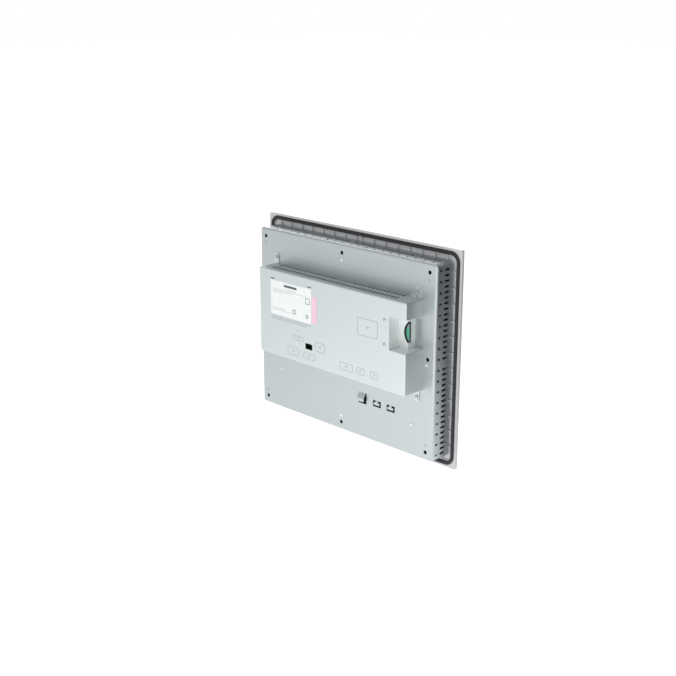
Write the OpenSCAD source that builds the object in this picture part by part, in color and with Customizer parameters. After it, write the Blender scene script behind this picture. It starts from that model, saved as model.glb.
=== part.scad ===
// Built-in industrial touch panel: bezel frame with sealing gasket, galvanised rear
// housing, screwed electronics cover, connector row, DIP switch and memory card slot.
// Screen faces -Y, rear faces +Y, Z is up. The origin is the centre of the panel
// cutout in the sealing plane, which is the rear face of the bezel frame.

/* [Front frame] */
// Bezel outer width
bezel_w = 335; // [300:1:380]
// Bezel outer height
bezel_h = 275; // [240:1:320]
// Bezel corner radius
bezel_r = 3; // [1:0.5:8]
// Bezel total thickness in front of the sealing plane
bezel_t = 6; // [5:0.5:10]
// Chamfer round the front edge of the bezel
bezel_chamfer = 3; // [1:0.5:4]
// Depth of the channel between gasket and rear housing
moat_depth = 2.5; // [1:0.5:3]
// Half width of the channel outer edge
moat_x = 158.5; // [156:0.5:160]
// Half height of the channel outer edge
moat_z = 129; // [126:0.5:131]
// Corner radius of the channel outer edge
moat_r = 8; // [4:1:12]
// Pitch of the stiffening ribs in the channel
rib_pitch = 20; // [15:1:30]
// Thickness of one stiffening rib
rib_t = 1.2; // [0.8:0.1:2]
// Height of the rim that locates the rear housing, behind the sealing plane
rim_h = 5; // [3:0.5:8]
// Thickness of the locating rim
rim_t = 3; // [2:0.5:5]
// Width of one rear post
post_w = 10; // [8:0.5:14]
// Depth of the threaded core in each rear post
post_core_l = 10; // [6:0.5:16]

/* [Gasket] */
// Width of the gasket strip
gasket_w = 5.6; // [4:0.1:8]
// Height of the gasket behind the sealing plane
gasket_h = 1.4; // [0.8:0.1:3]
// Depth of the gasket seat in the bezel
gasket_seat = 0.5; // [0.3:0.1:1]
// Width of the centre ridge of the gasket
gasket_ridge_w = 2.2; // [1:0.1:3]

/* [Display] */
// Width of the visible display window
window_w = 250; // [200:1:270]
// Height of the visible display window
window_h = 188; // [150:1:210]
// Width of the touch glass
glass_w = 270; // [220:1:280]
// Height of the touch glass
glass_h = 208; // [170:1:215]
// Thickness of the touch glass
glass_t = 1.8; // [1:0.1:3]
// Thickness of the front foil
foil_t = 0.4; // [0.2:0.1:1]
// Thickness of the display module frame
lcd_frame_t = 8; // [5:0.5:12]
// Thickness of the display cell
lcd_cell_t = 1.6; // [1:0.1:3]

/* [Rear housing] */
// Outer width of the rear housing, passes the 310 mm cutout
pan_w = 308.4; // [300:0.2:309.4]
// Outer height of the rear housing, passes the 248 mm cutout
pan_h = 246.6; // [240:0.2:247.4]
// Rear face of the housing plate behind the sealing plane
pan_y = 29; // [20:0.5:40]
// Sheet thickness of the housing
pan_t = 1.2; // [0.8:0.1:2]
// Outer bend radius of the plate edges
pan_bend = 3; // [2:0.5:5]
// Corner radius of the housing walls
pan_r = 6; // [4:0.5:10]
// Pitch of the long vent slots
vent_pitch = 6.77; // [5:0.01:10]
// Length of a long vent slot
vent_len = 8.5; // [5:0.1:11]
// Length of a short vent slot
vent_short_len = 4.4; // [3:0.1:6]
// Width of every vent slot
vent_w = 2.7; // [1.5:0.1:4]
// Distance of the long vent slots from the sealing plane
vent_y = 10.9; // [8:0.1:14]
// Distance of the short vent slots from the sealing plane
vent_short_y = 21.7; // [18:0.1:24]
// Spacing of the rear plate holes across the width
hole_dx = 286; // [270:1:295]
// Spacing of the rear plate holes over the height
hole_dz = 225; // [210:1:235]
// Diameter of the rear plate holes
hole_d = 5; // [4:0.1:6]
// Height of the middle rear plate holes
hole_mid_z = 6; // [0:0.5:10]

/* [Electronics cover] */
// Left edge of the cover seen from the rear right side
cover_x0 = -134.2; // [-140:0.1:-120]
// Right edge of the cover
cover_x1 = 123.2; // [110:0.1:130]
// Lower edge of the cover
cover_z0 = -35.5; // [-45:0.1:-25]
// Upper edge of the cover
cover_z1 = 79.2; // [70:0.1:90]
// Rear face of the cover behind the sealing plane
cover_y = 59; // [50:0.5:70]
// Sheet thickness of the cover
cover_t = 1; // [0.8:0.1:1.5]
// Outer bend radius of the cover
cover_bend = 1.5; // [1.2:0.1:3]
// Width of a screw tab
tab_w = 8; // [6:0.5:12]
// Length of a screw tab
tab_len = 14; // [10:0.5:18]

/* [Card slot] */
// Inner side of the card recess
recess_x = -108.4; // [-112:0.1:-100]
// Lower side of the card recess
recess_z0 = 16.7; // [14:0.1:20]
// Upper side of the card recess
recess_z1 = 58.3; // [52:0.1:60]
// Floor of the card recess behind the sealing plane
recess_y = 42; // [40:0.5:46]
// Outer wall of the card bracket, which stands on the housing plate
lip_x = -122.6; // [-125:0.1:-119]
// Card width
card_w = 24; // [20:0.1:30]
// Card length
card_l = 32; // [24:0.1:40]
// Card thickness
card_t = 2.1; // [1.4:0.1:3.3]
// Clearance round the card in its guide
card_gap = 0.35; // [0.3:0.05:0.6]
// How far the card stands out of the bracket's outer wall
card_out = 1.5; // [0.5:0.1:3]
// Height of the finger cut-out round the outer fold of the bracket
finger_h = 26.2; // [25:0.1:30]
// Depth of the finger cut-out in the bracket floor
finger_w = 6.2; // [4:0.1:9]
// Depth of the finger cut-out in the bracket's outer wall
finger_d = 5.4; // [4.5:0.1:7]
// Visible width of the black rim inside the finger cut-out
finger_rim = 2.2; // [1:0.1:3]

/* [DIP switch] */
// Centre of the DIP switch window across the width
dip_x = 30; // [20:0.5:40]
// Centre of the DIP switch window in height
dip_z = -10.2; // [-15:0.1:-5]
// Width of the DIP switch window
dip_w = 12.8; // [10:0.1:16]
// Height of the DIP switch window
dip_h = 7.8; // [6:0.1:10]
// Pitch of the DIP levers
dip_pitch = 2.54; // [2:0.01:3]
// Lever travel
dip_travel = 1.6; // [1:0.1:2.5]

/* [Labels] */
// Width of the rating label
label_w = 76; // [60:1:90]
// Height of the rating label
label_h = 45.6; // [35:0.1:60]
// Thickness of the labels
label_t = 0.2; // [0.1:0.05:0.5]

/* [Connectors] */
// Centre of the power terminal block
power_x = 98; // [85:1:108]
// Centre of the first nine way socket
dsub_a_x = 60; // [55:1:65]
// Centre of the second nine way socket
dsub_b_x = 22; // [18:1:26]
// Centre of the network socket
lan_x = -37; // [-45:1:-30]
// Centre of the first serial bus socket
usb_a_x = -61.5; // [-66:0.5:-56]
// Centre of the second serial bus socket
usb_b_x = -84.5; // [-90:0.5:-78]

/* [Hidden] */
$fn = 48;
eps = 0.01;
over = 1;
fit = 0.1;

// colours
grey_bezel = [0.78, 0.78, 0.79];
grey_foil = [0.72, 0.75, 0.80];
galvanised = [0.75, 0.78, 0.79];
cover_grey = [0.82, 0.86, 0.86];
dark = [0.06, 0.07, 0.07];
board_green = [0.12, 0.42, 0.30];
steel = [0.72, 0.73, 0.74];

// derived sizes
pan_hx = pan_w / 2;
pan_hz = pan_h / 2;
rim_x = pan_hx - pan_t - 0.05;
rim_z = pan_hz - pan_t - 0.05;
gasket_x1 = moat_x + fit + gasket_w;
gasket_z1 = moat_z + fit + gasket_w;
gasket_r = moat_r + fit + gasket_w;
pocket_y = -bezel_t + 3;
lcd_y0 = pocket_y + glass_t;
lcd_y1 = lcd_y0 + lcd_frame_t;
lcd_back_t = 1;
cell_w = window_w + 6;
cell_h = window_h + 6;
post_y = pan_y - pan_t;
rim_pocket_h = 82;
rim_pocket_z = 56;
small_dz = 9;
small_screw_r = 1.25;
small_screw_l = 6;
small_head_r = 2.2;
rivet_r = 1;
rivet_l = 4;
plate_bumps = [[115.2, -67], [-119.3, -83.3]];
cover_bump = [52.5, 4.1];
bump_r = 2.4;
bump_h = 0.5;
mid_dx = 1;
cover_cx = (cover_x0 + cover_x1) / 2;
cover_cz = (cover_z0 + cover_z1) / 2;
cover_w = cover_x1 - cover_x0;
cover_h = cover_z1 - cover_z0;
cover_in = cover_y - cover_t;
cover_vent_pitch = 6.13;
cover_vent_w = 3.5;
cover_vent_cx = -1.2;
cover_vent_y = [33.6, 47.2];
board_t = 1.6;
board_y0 = pan_y + 10;
board_y1 = board_y0 + board_t;
board_x0 = lip_x + 2;
board_x1 = cover_x1 - 5;
board_z0 = cover_z0 + cover_t + 0.5;
board_z1 = cover_z1 - 6;
board_holes = [[-115, 5], [-115, 68], [112, -28], [112, 68], [0, 68], [-10, -28]];
recess_cz = (recess_z0 + recess_z1) / 2;
fold_r = 1.6;
card_z = 38;
card_y1 = recess_y - cover_t - card_gap;
card_y0 = card_y1 - card_t;
card_x = lip_x - card_out;
card_label_w = 21.4;
card_label_l = 24;
card_label_t = 0.1;
guide_z0 = card_z - card_w / 2 - card_gap - 1.5;
guide_z1 = card_z + card_w / 2 + card_gap + 1.5;
guide_y0 = card_y0 - card_gap - 2;
guide_x0 = lip_x + fold_r;
header_x = card_x + card_l + 0.3;
header_w = 6;
finger_arc_r = 17;
rating_x = 63;
rating_z = 43.4;
seal_x = 19.8;
seal_z = 40;
seal_w = 8.8;
seal_h = 34.6;
battery_x = 75;
battery_z = 50;
battery_r = 10;
screw_x = -99.8;
bracket_screw_z = [52.3, 21.9];
tab_screw_z = 9;
tab_screw_r = 1.5;
top_tab_x = [cover_x0 + 6.2, cover_x1 - 2.4];
low_tab_x = [cover_x0 + 6.2, cover_x1 - 6.2];
lug_x = cover_x0 + 13.4;
lug_h = 4.4;
hook_x = [97.5, 29];
hook_z = 68.2;
hook_w = 7;
hook_h = 1.2;
cable_slot = [60, 12];
cable_slot_z = 26;
dip_y0 = board_y1;
dip_y1 = cover_in - 8;
lever_y0 = dip_y1 - 1.5;
lever_w = 1.3;
lever_d = 1.5;
connector_y0 = board_y1;
face_z = cover_z0;
jack_dx = 12.5;
pin_pitch = 2.74;
pin_row = 1.4;
terminal_pitch = 5.08;
dsub_y = connector_y0 + 7;
dsub_z = face_z + 4.7;
lan_y = connector_y0 + 7;
usb_y = connector_y0 + 4;
power_y = connector_y0 + 6;
lance_x = [-61.8, -85.2];
lance_z = -71.5;
lance_w = 13.5;
lance_h = 8.3;
big_lance_x = -37;
big_lance_z = -69.8;
big_lance_h = 14.5;
neck_w = 4.2;
head_w = 9.6;
head_l = 2.2;
tongue_rise = 0.7;
big_tongue_rise = 4.2;

// extrusions along the three axes; the 2D drawing is in the other two axes
module along_y(y0, y1) { translate([0, y1, 0]) rotate([90, 0, 0]) linear_extrude(y1 - y0) children(); }
module along_x(x0, x1) { translate([x0, 0, 0]) rotate([90, 0, 90]) linear_extrude(x1 - x0) children(); }
module along_z(z0, z1) { translate([0, 0, z0]) linear_extrude(z1 - z0) children(); }

// box between two corners
module block(a, b) { translate(a) cube(b - a); }

// rounded rectangle centred on the origin
module rounded(w, h, r) {
  square([w - 2 * r, h], center = true);
  square([w, h - 2 * r], center = true);
  for (x = [-1, 1], z = [-1, 1]) translate([x * (w / 2 - r), z * (h / 2 - r)]) circle(r);
}

// round-ended slot, long side along the first axis
module slot(len, w) {
  square([len - w, w], center = true);
  for (s = [-1, 1]) translate([s * (len - w) / 2, 0]) circle(w / 2, $fn = 24);
}

// wall profile swept round a rounded rectangle: child drawn with x outward, y rearward
module swept(hx, hz, r) {
  for (m = [0, 1]) mirror([m, 0, 0]) {
    along_z(-hz + r, hz - r) translate([hx - r, 0]) children();
    for (n = [0, 1]) mirror([0, 0, n]) translate([hx - r, 0, hz - r])
      rotate([-90, 0, 0]) mirror([0, 1, 0]) rotate_extrude(angle = 90) children();
  }
  for (n = [0, 1]) mirror([0, 0, n])
    translate([0, 0, hz - r]) rotate([0, -90, 0]) translate([0, 0, -hx + r])
      linear_extrude(2 * (hx - r)) children();
}

// section of a folded box: width on the first axis, depth on the second
module bent_profile(h, y0, y1, bend) {
  translate([-h, y0]) square([2 * h, y1 - y0 - bend]);
  translate([-h + bend, y0]) square([2 * (h - bend), y1 - y0]);
  for (s = [-1, 1]) translate([s * (h - bend), y1 - bend]) circle(bend);
}

// folded box with rounded outline and bent rear edges
module folded_box(hx, hz, y0, y1, r, bend) {
  intersection() {
    along_y(y0, y1) rounded(2 * hx, 2 * hz, r);
    along_z(-hz, hz) bent_profile(hx, y0, y1, bend);
    along_x(-hx, hx) rotate(90) mirror([0, 1]) bent_profile(hz, y0, y1, bend);
  }
}

// positions of the eight rear plate holes
module hole_places() {
  for (x = [-1, 1], z = [-1, 1]) translate([x * hole_dx / 2, 0, z * hole_dz / 2]) children();
  for (z = [-1, 1]) translate([mid_dx, 0, z * hole_dz / 2]) children();
  for (x = [-1, 1]) translate([x * hole_dx / 2, 0, hole_mid_z]) children();
}

// positions of the four corner housing screws
module corner_screw_places() {
  for (x = [-1, 1], z = [-1, 1])
    translate([x * hole_dx / 2, 0, z * (hole_dz / 2 - small_dz)]) children();
}

// positions of the four middle rivets
module rivet_places() {
  for (z = [-1, 1]) translate([mid_dx, 0, z * (hole_dz / 2 - small_dz)]) children();
  for (x = [-1, 1]) translate([x * (hole_dx / 2 - 1.5), 0, hole_mid_z - 7]) children();
}

// round rod along the depth axis
module rod(r, y0, y1) { translate([0, y1, 0]) rotate([90, 0, 0]) cylinder(y1 - y0, r, r); }

// round cone along the depth axis, r0 at y0
module taper(r0, r1, y0, y1) { translate([0, y1, 0]) rotate([90, 0, 0]) cylinder(y1 - y0, r1, r0); }

module front_frame() {
  color(grey_bezel) difference() {
    union() {
      difference() {
        intersection() {
          along_y(-bezel_t, 0) rounded(bezel_w, bezel_h, bezel_r);
          along_z(-bezel_h / 2, bezel_h / 2) bezel_profile(bezel_w / 2);
          along_x(-bezel_w / 2, bezel_w / 2) rotate(90) mirror([0, 1]) bezel_profile(bezel_h / 2);
        }
        along_y(-moat_depth, over) rounded(2 * moat_x, 2 * moat_z, moat_r);
        along_y(-gasket_seat, over) difference() {
          rounded(2 * gasket_x1, 2 * gasket_z1, gasket_r);
          rounded(2 * (moat_x + fit), 2 * (moat_z + fit), moat_r + fit);
        }
        corner_marks();
      }
      moat_ribs();
    }
    along_y(-bezel_t - over, pocket_y + eps) square([window_w, window_h], center = true);
    along_y(pocket_y, over) square([glass_w + fit, glass_h + fit], center = true);
  }
}

// cast frame inside the rear housing: rim, display seat and threaded posts
module inner_frame() {
  color(grey_bezel) difference() {
    union() {
      along_y(-moat_depth, rim_h) rounded(2 * rim_x, 2 * rim_z, pan_r - pan_t);
      intersection() {
        union() {
          hole_places() frame_post();
          corner_screw_places() frame_post();
          rivet_places() frame_post();
        }
        along_y(0, post_y) rounded(2 * rim_x, 2 * rim_z, pan_r - pan_t);
      }
    }
    along_y(-moat_depth - over, lcd_y1 + fit) square([glass_w + fit, glass_h + fit], center = true);
    // weight-saving pockets in the broad part of the rim
    for (s = [-1, 1], t = [-1, 1]) translate([0, 0, t * rim_pocket_z]) along_y(0, rim_h + over)
      translate([s * (rim_x + glass_w / 2) / 2, 0])
        square([rim_x - glass_w / 2 - 2 * rim_t, rim_pocket_h], center = true);
    hole_places() rod(hole_d / 2, post_y - post_core_l, post_y + over);
    corner_screw_places() rod(small_screw_r, post_y - small_screw_l, post_y + over);
    rivet_places() rod(rivet_r, post_y - rivet_l, post_y + over);
  }
}

// section of the bezel with its chamfered front edge, drawn with the depth on the second axis
module bezel_profile(h) {
  polygon([[-h, 0], [h, 0], [h, -bezel_t + bezel_chamfer], [h - bezel_chamfer, -bezel_t],
    [-h + bezel_chamfer, -bezel_t], [-h, -bezel_t + bezel_chamfer]]);
}

// square post between frame and housing plate
module frame_post() { along_y(0, post_y) square([post_w, post_w + 1], center = true); }

// stiffening ribs across the channel, none at the centre lines
module moat_ribs() {
  rib_z = moat_z - pan_hz - fit;
  rib_x = moat_x - pan_hx - fit;
  for (m = [0, 1], n = [0, 1]) mirror([m, 0, 0]) mirror([0, 0, n]) {
    for (i = [0:7]) translate([rib_pitch / 4 + i * rib_pitch, -moat_depth / 2, moat_z - rib_z / 2])
      cube([rib_t, moat_depth + eps, rib_z + eps], center = true);
    for (i = [0:5]) translate([moat_x - rib_x / 2, -moat_depth / 2, rib_pitch / 2 + i * rib_pitch])
      cube([rib_x + eps, moat_depth + eps, rib_t], center = true);
  }
}

// shallow arcs and centre pops outside the gasket corners
module corner_marks() {
  for (x = [0, 1], z = [0, 1]) mirror([x, 0, 0]) mirror([0, 0, z]) {
    translate([gasket_x1 - 2.6, 0, gasket_z1 - 2.4]) rod(0.8, -0.4, over);
    translate([gasket_x1 - gasket_r, 0, gasket_z1 - gasket_r]) rotate([-90, 0, 0]) mirror([0, 1, 0])
      rotate([0, 0, 20]) rotate_extrude(angle = 50) translate([gasket_r + 0.8, -0.3]) square([0.7, over]);
  }
}

module panel_gasket() {
  ridge0 = (gasket_w - gasket_ridge_w) / 2;
  color([0.2, 0.2, 0.21]) swept(gasket_x1, gasket_z1, gasket_r) translate([gasket_r - gasket_w, 0])
    polygon([[0, -gasket_seat], [gasket_w, -gasket_seat], [gasket_w, 0.5], [gasket_w - 0.5, 0.9],
      [ridge0 + gasket_ridge_w + 0.3, 0.5], [ridge0 + gasket_ridge_w - 0.3, gasket_h],
      [ridge0 + 0.3, gasket_h], [ridge0 - 0.3, 0.5], [0.5, 0.9], [0, 0.5]]);
}

module front_foil() {
  color(grey_foil) along_y(-bezel_t - foil_t, -bezel_t) difference() {
    rounded(bezel_w - 2 * bezel_chamfer - 2, bezel_h - 2 * bezel_chamfer - 2, 2);
    square([window_w, window_h], center = true);
  }
}

module touch_glass() {
  color([0.16, 0.19, 0.22]) along_y(pocket_y, lcd_y0) square([glass_w, glass_h], center = true);
}

// tray that holds the display cell and the light guide
module lcd_frame() {
  color(steel) difference() {
    along_y(lcd_y0, lcd_y1) square([glass_w, glass_h], center = true);
    along_y(lcd_y0 - over, lcd_y1 - lcd_back_t) square([cell_w, cell_h], center = true);
  }
}

module light_guide() {
  color([0.85, 0.86, 0.88]) along_y(lcd_y0 + lcd_cell_t, lcd_y1 - lcd_back_t)
    square([cell_w, cell_h], center = true);
}

module lcd_cell() {
  color([0.05, 0.07, 0.1]) along_y(lcd_y0, lcd_y0 + lcd_cell_t)
    square([cell_w, cell_h], center = true);
}

// vent slots of the four housing walls; the middle long slot is left out
module pan_vents() {
  span = pan_w + 2;
  for (i = [-17:17]) if (i != 0) translate([0, vent_y, i * vent_pitch])
    along_x(-span / 2, span / 2) slot(vent_len, vent_w);
  for (i = [-8.5:1:8.5]) translate([0, vent_short_y, i * 2 * vent_pitch])
    along_x(-span / 2, span / 2) slot(vent_short_len, vent_w);
  for (i = [-21:21]) if (i != 0) translate([i * vent_pitch, vent_y, 0])
    along_z(-span / 2, span / 2) rotate(90) slot(vent_len, vent_w);
  for (i = [-10.5:1:10.5]) translate([i * 2 * vent_pitch, vent_short_y, 0])
    along_z(-span / 2, span / 2) rotate(90) slot(vent_short_len, vent_w);
}

// low embossed dimple standing on the face at y
module bump(y) { taper(bump_r, bump_r - 0.9, y - eps, y + bump_h); }

module rear_housing() {
  color(galvanised) difference() {
    folded_box(pan_hx, pan_hz, -moat_depth, pan_y, pan_r, pan_bend);
    translate([0, -over, 0])
      folded_box(pan_hx - pan_t, pan_hz - pan_t, -moat_depth, pan_y - pan_t + over,
        pan_r - pan_t, pan_bend - pan_t);
    pan_vents();
    hole_places() rod(hole_d / 2, post_y - over, pan_y + over);
    corner_screw_places() taper(small_screw_r, small_head_r, post_y - eps, pan_y + eps);
    rivet_places() rod(rivet_r, post_y - over, pan_y + over);
    // cable pass-through under the cover
    along_y(post_y - over, pan_y + over) translate([0, cable_slot_z]) square(cable_slot, center = true);
    for (h = board_holes) translate([h[0], 0, h[1]]) rod(1.25, post_y - over, pan_y + over);
    tab_places() rod(1.25, post_y - over, pan_y + over);
    lance_openings();
  }
  color(galvanised) {
    lance_tongues();
    for (p = plate_bumps) translate([p[0], 0, p[1]]) bump(pan_y);
  }
}

// anchor points for cable ties below the cover
module lance_openings() {
  along_y(post_y - over, pan_y + over) {
    for (x = lance_x) translate([x, lance_z]) square([lance_w, lance_h], center = true);
    translate([big_lance_x, big_lance_z]) square([lance_w, big_lance_h], center = true);
  }
}

// tongue hinged on the upper edge of an opening, stepped out by rise; z values from the opening's middle
module stepped_tongue(x, z, w, top, bend, bottom, rise) {
  along_x(x - w / 2, x + w / 2) translate([post_y, z])
    polygon([[0, top + eps], [rise, bend], [rise, bottom], [rise + pan_t, bottom], [rise + pan_t, bend],
      [pan_t, top + eps]]);
}
module lance_tongues() {
  for (x = lance_x) {
    stepped_tongue(x, lance_z, neck_w, lance_h / 2, lance_h / 2 - 1.6, -head_l / 2, tongue_rise);
    // head of the T
    along_y(post_y + tongue_rise, pan_y + tongue_rise) translate([x, lance_z])
      square([head_w, head_l + over], center = true);
  }
  stepped_tongue(big_lance_x + 0.6, big_lance_z, lance_w - 2.2, big_lance_h / 2, 0.8, -3.4,
    big_tongue_rise);
}

module housing_screws() {
  color(steel) corner_screw_places() difference() {
    union() {
      rod(small_screw_r, post_y - small_screw_l + over, post_y + eps);
      taper(small_screw_r, small_head_r, post_y, pan_y);
    }
    rod(0.9, pan_y - 0.8, pan_y + over, $fn = 6);
  }
}

module housing_rivets() {
  dome_r = 2.6;
  color([0.85, 0.86, 0.86]) rivet_places() {
    rod(rivet_r, post_y - rivet_l + over, pan_y + eps);
    intersection() {
      translate([0, pan_y - 2, 0]) sphere(dome_r);
      rod(small_head_r, pan_y, pan_y + over);
    }
  }
}

module inverter_board() {
  color(board_green) block([-150, lcd_y1 + 6, -96], [-50, lcd_y1 + 7.6, -66]);
  color(dark) block([-140, lcd_y1, -92], [-118, lcd_y1 + 6, -72]);
  color(dark) block([-84, lcd_y1, -92], [-62, lcd_y1 + 6, -72]);
}

module lamp_cable() {
  color([0.9, 0.9, 0.92]) block([-50, lcd_y1 + 6.4, -84], [-20, lcd_y1 + 7.2, -78]);
  color([0.9, 0.9, 0.92]) block([-26, lcd_y1, -84], [-20, lcd_y1 + 6.4 + eps, -78]);
}

// screw tab places on the housing plate
module tab_places() {
  for (x = top_tab_x) translate([x, 0, cover_z1 + tab_screw_z]) children();
  for (x = low_tab_x) translate([x, 0, cover_z0 - tab_screw_z]) children();
}

// flat screw tab on the housing plate, z at its middle
module screw_tab(x, z) {
  along_y(pan_y, pan_y + cover_t) translate([x, z]) rounded(tab_w, tab_len + 2, 1);
}

module electronics_cover() {
  color(cover_grey) difference() {
    union() {
      difference() {
        translate([cover_cx, 0, cover_cz])
          folded_box(cover_w / 2, cover_h / 2, pan_y, cover_y, cover_bend + 0.3, cover_bend);
        translate([cover_cx, -over, cover_cz])
          folded_box(cover_w / 2 - cover_t, cover_h / 2 - cover_t, pan_y, cover_in + over,
            cover_bend + 0.3 - cover_t, cover_bend - cover_t);
      }
      for (x = top_tab_x) screw_tab(x, cover_z1 + tab_len / 2 - 1);
      for (x = low_tab_x) screw_tab(x, cover_z0 - tab_len / 2 + 1);
      // locating lug between the two upper tabs
      along_y(pan_y, pan_y + 2 * cover_t) translate([lug_x, cover_z1 + lug_h / 2 - eps])
        square([tab_w, lug_h], center = true);
      translate([cover_bump[0], 0, cover_bump[1]]) bump(cover_y);
    }
    tab_places() rod(tab_screw_r + 0.1, pan_y - over, pan_y + cover_t + over);
    // top vents in two rows
    for (i = [-17.5:1:17.5], y = cover_vent_y) translate([cover_vent_cx + i * cover_vent_pitch, y, 0])
      along_z(cover_z1 - cover_t - over, cover_z1 + over) rotate(90) slot(vent_len, cover_vent_w);
    // card recess, open down to the plate at its outer end
    block([cover_x0 - over, recess_y - eps, recess_z0], [recess_x, cover_y + over, recess_z1]);
    block([cover_x0 - over, pan_y - over, recess_z0], [cover_x0 + cover_t + over, recess_y, recess_z1]);
    for (z = bracket_screw_z) translate([screw_x, 0, z]) rod(1.25, cover_in - over, cover_y + over);
    block([dip_x - dip_w / 2, cover_in - over, dip_z - dip_h / 2],
      [dip_x + dip_w / 2, cover_y + over, dip_z + dip_h / 2]);
    // hook slots over the rating label
    for (x = hook_x) along_y(cover_in - over, cover_y + over) translate([x, hook_z])
      square([hook_w, hook_h], center = true);
    connector_cuts();
  }
}

module cover_screws() {
  color(steel) tab_places() pan_screw(pan_y + cover_t, 1.25, 2.8, 1.6, 4);
}

// pan head screw seated at y, shank length len into the part
module pan_screw(y, shank_r, head_r, head_h, len) {
  difference() {
    union() {
      rod(shank_r, y - len, y + eps);
      taper(head_r, head_r - 0.4, y, y + head_h);
    }
    for (a = [0, 90]) rotate([0, a, 0])
      block([-head_r * 0.6, y + head_h - 0.8, -0.25], [head_r * 0.6, y + head_h + over, 0.25]);
  }
}

module main_board() {
  color(board_green) difference() {
    block([board_x0, board_y0, board_z0], [board_x1, board_y1, board_z1]);
    for (h = board_holes) translate([h[0], 0, h[1]]) rod(1.25, board_y0 - over, board_y1 + over);
    along_y(board_y0 - over, board_y1 + over) translate([0, cable_slot_z])
      square(cable_slot, center = true);
    // clearance for the card guide and its header
    block([board_x0 - over, board_y0 - over, guide_z0 - 2],
      [header_x + header_w + 3 * fit, board_y1 + over, guide_z1 + 2]);
  }
}

module board_spacers() {
  color(steel) for (h = board_holes) translate([h[0], 0, h[1]]) difference() {
    rod(3, pan_y, board_y0, $fn = 6);
    rod(1.25, pan_y - over, board_y0 + over);
  }
}

module board_screws() {
  color(steel) for (h = board_holes) translate([h[0], 0, h[1]])
    pan_screw(board_y1, 1.25, 2.6, 1.6, board_t + 4);
}

module processor() {
  color(dark) block([-60, board_y1, 38], [-32, board_y1 + 2.4, 66]);
}

module heat_sink() {
  base_y = board_y1 + 2.4;
  color([0.62, 0.64, 0.66]) {
    block([-64, base_y, 34], [-28, base_y + 3, 70]);
    for (i = [0:7]) block([-64 + i * 4.9, base_y + 3 - eps, 34], [-62.3 + i * 4.9, cover_in - 4, 70]);
  }
}

module battery_holder() {
  color(dark) translate([battery_x, 0, battery_z]) difference() {
    rod(battery_r + 3, board_y1, board_y1 + 5);
    rod(battery_r + fit, board_y1 + 1.2, board_y1 + 5 + over);
    block([-battery_r - 4, board_y1 + 2, -3], [0, board_y1 + 5 + over, 3]);
  }
}

module battery_cell() {
  color(steel) translate([battery_x, 0, battery_z]) {
    rod(battery_r, board_y1 + 1.2, board_y1 + 4.2);
    rod(battery_r - 1.6, board_y1 + 4.2 - eps, board_y1 + 4.4);
  }
}

module display_cable() {
  color([0.85, 0.83, 0.75]) {
    block([-22, lcd_y1, 24], [22, lcd_y1 + 0.4, 31]);
    block([-22, lcd_y1 + eps, 24], [22, board_y1 + 3, 24.4]);
    block([-22, board_y1 + 2.6, 13], [22, board_y1 + 3, 24.4]);
    block([-24, board_y1, 10], [24, board_y1 + 3.4, 13.2]);
  }
}

// half-round finger cut-out open to the outer fold, grown inward by g
module finger_shape(g) {
  half_h = finger_h / 2 - g;
  translate([lip_x, card_z]) intersection() {
    translate([-over, -half_h]) square([finger_w - g + over, 2 * half_h]);
    translate([finger_w - g - finger_arc_r, 0]) circle(finger_arc_r, $fn = 96);
  }
}

// bracket floor and its outer wall on the plate, joined by a round fold
module fold_profile(wall) {
  square_x = recess_x + wall - lip_x - fold_r;
  difference() {
    union() {
      translate([lip_x + fold_r, recess_y - fold_r]) circle(fold_r);
      translate([lip_x + fold_r, recess_y - wall]) square([square_x, wall]);
      translate([lip_x, pan_y]) square([wall, recess_y - fold_r - pan_y]);
    }
    translate([lip_x + fold_r, recess_y - fold_r]) circle(fold_r - wall);
    translate([lip_x + fold_r, recess_y - 2 * fold_r - over])
      square([fold_r + over, 2 * fold_r + over - wall]);
    translate([lip_x + wall, recess_y - 2 * fold_r - over]) square([fold_r, fold_r + over]);
  }
}

module card_bracket() {
  wall = 1;
  x_in = recess_x;
  relief = 1.6;
  color(cover_grey) difference() {
    union() {
      // flange behind the cover, inner wall, floor with outer wall, lower and upper walls
      block([x_in - wall, cover_in - wall, recess_z0 - wall], [x_in + 13, cover_in, recess_z1 + wall]);
      block([x_in, recess_y - wall, recess_z0 - wall], [x_in + wall, cover_in, recess_z1 + wall]);
      along_z(recess_z0 - wall, recess_z1 + wall) fold_profile(wall);
      for (z = [recess_z0 - wall, recess_z1]) {
        block([cover_x0 + cover_t + fit, recess_y - wall, z], [x_in + wall, cover_in, z + wall]);
        block([cover_x0 + cover_t + fit, pan_y, z], [lip_x + wall, recess_y, z + wall]);
      }
    }
    block([x_in - wall - over, cover_in - wall - over, recess_z0], [x_in, cover_in + over, recess_z1]);
    along_y(recess_y - fold_r, recess_y + over) finger_shape(0);
    block([lip_x - over, recess_y - finger_d, card_z - finger_h / 2],
      [lip_x + wall + eps, recess_y + over, card_z + finger_h / 2]);
    // bend relief in the lower inner corner
    block([x_in - over, recess_y, recess_z0],
      [x_in + wall + over, recess_y + relief, recess_z0 + relief]);
    for (z = bracket_screw_z) translate([screw_x, 0, z])
      rod(1.25, cover_in - wall - over, cover_in + over);
  }
}

module bracket_screws() {
  color(steel) for (z = bracket_screw_z) translate([screw_x, 0, z])
    pan_screw(cover_y, 1.25, 2.2, 0.8, 4);
}

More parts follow.
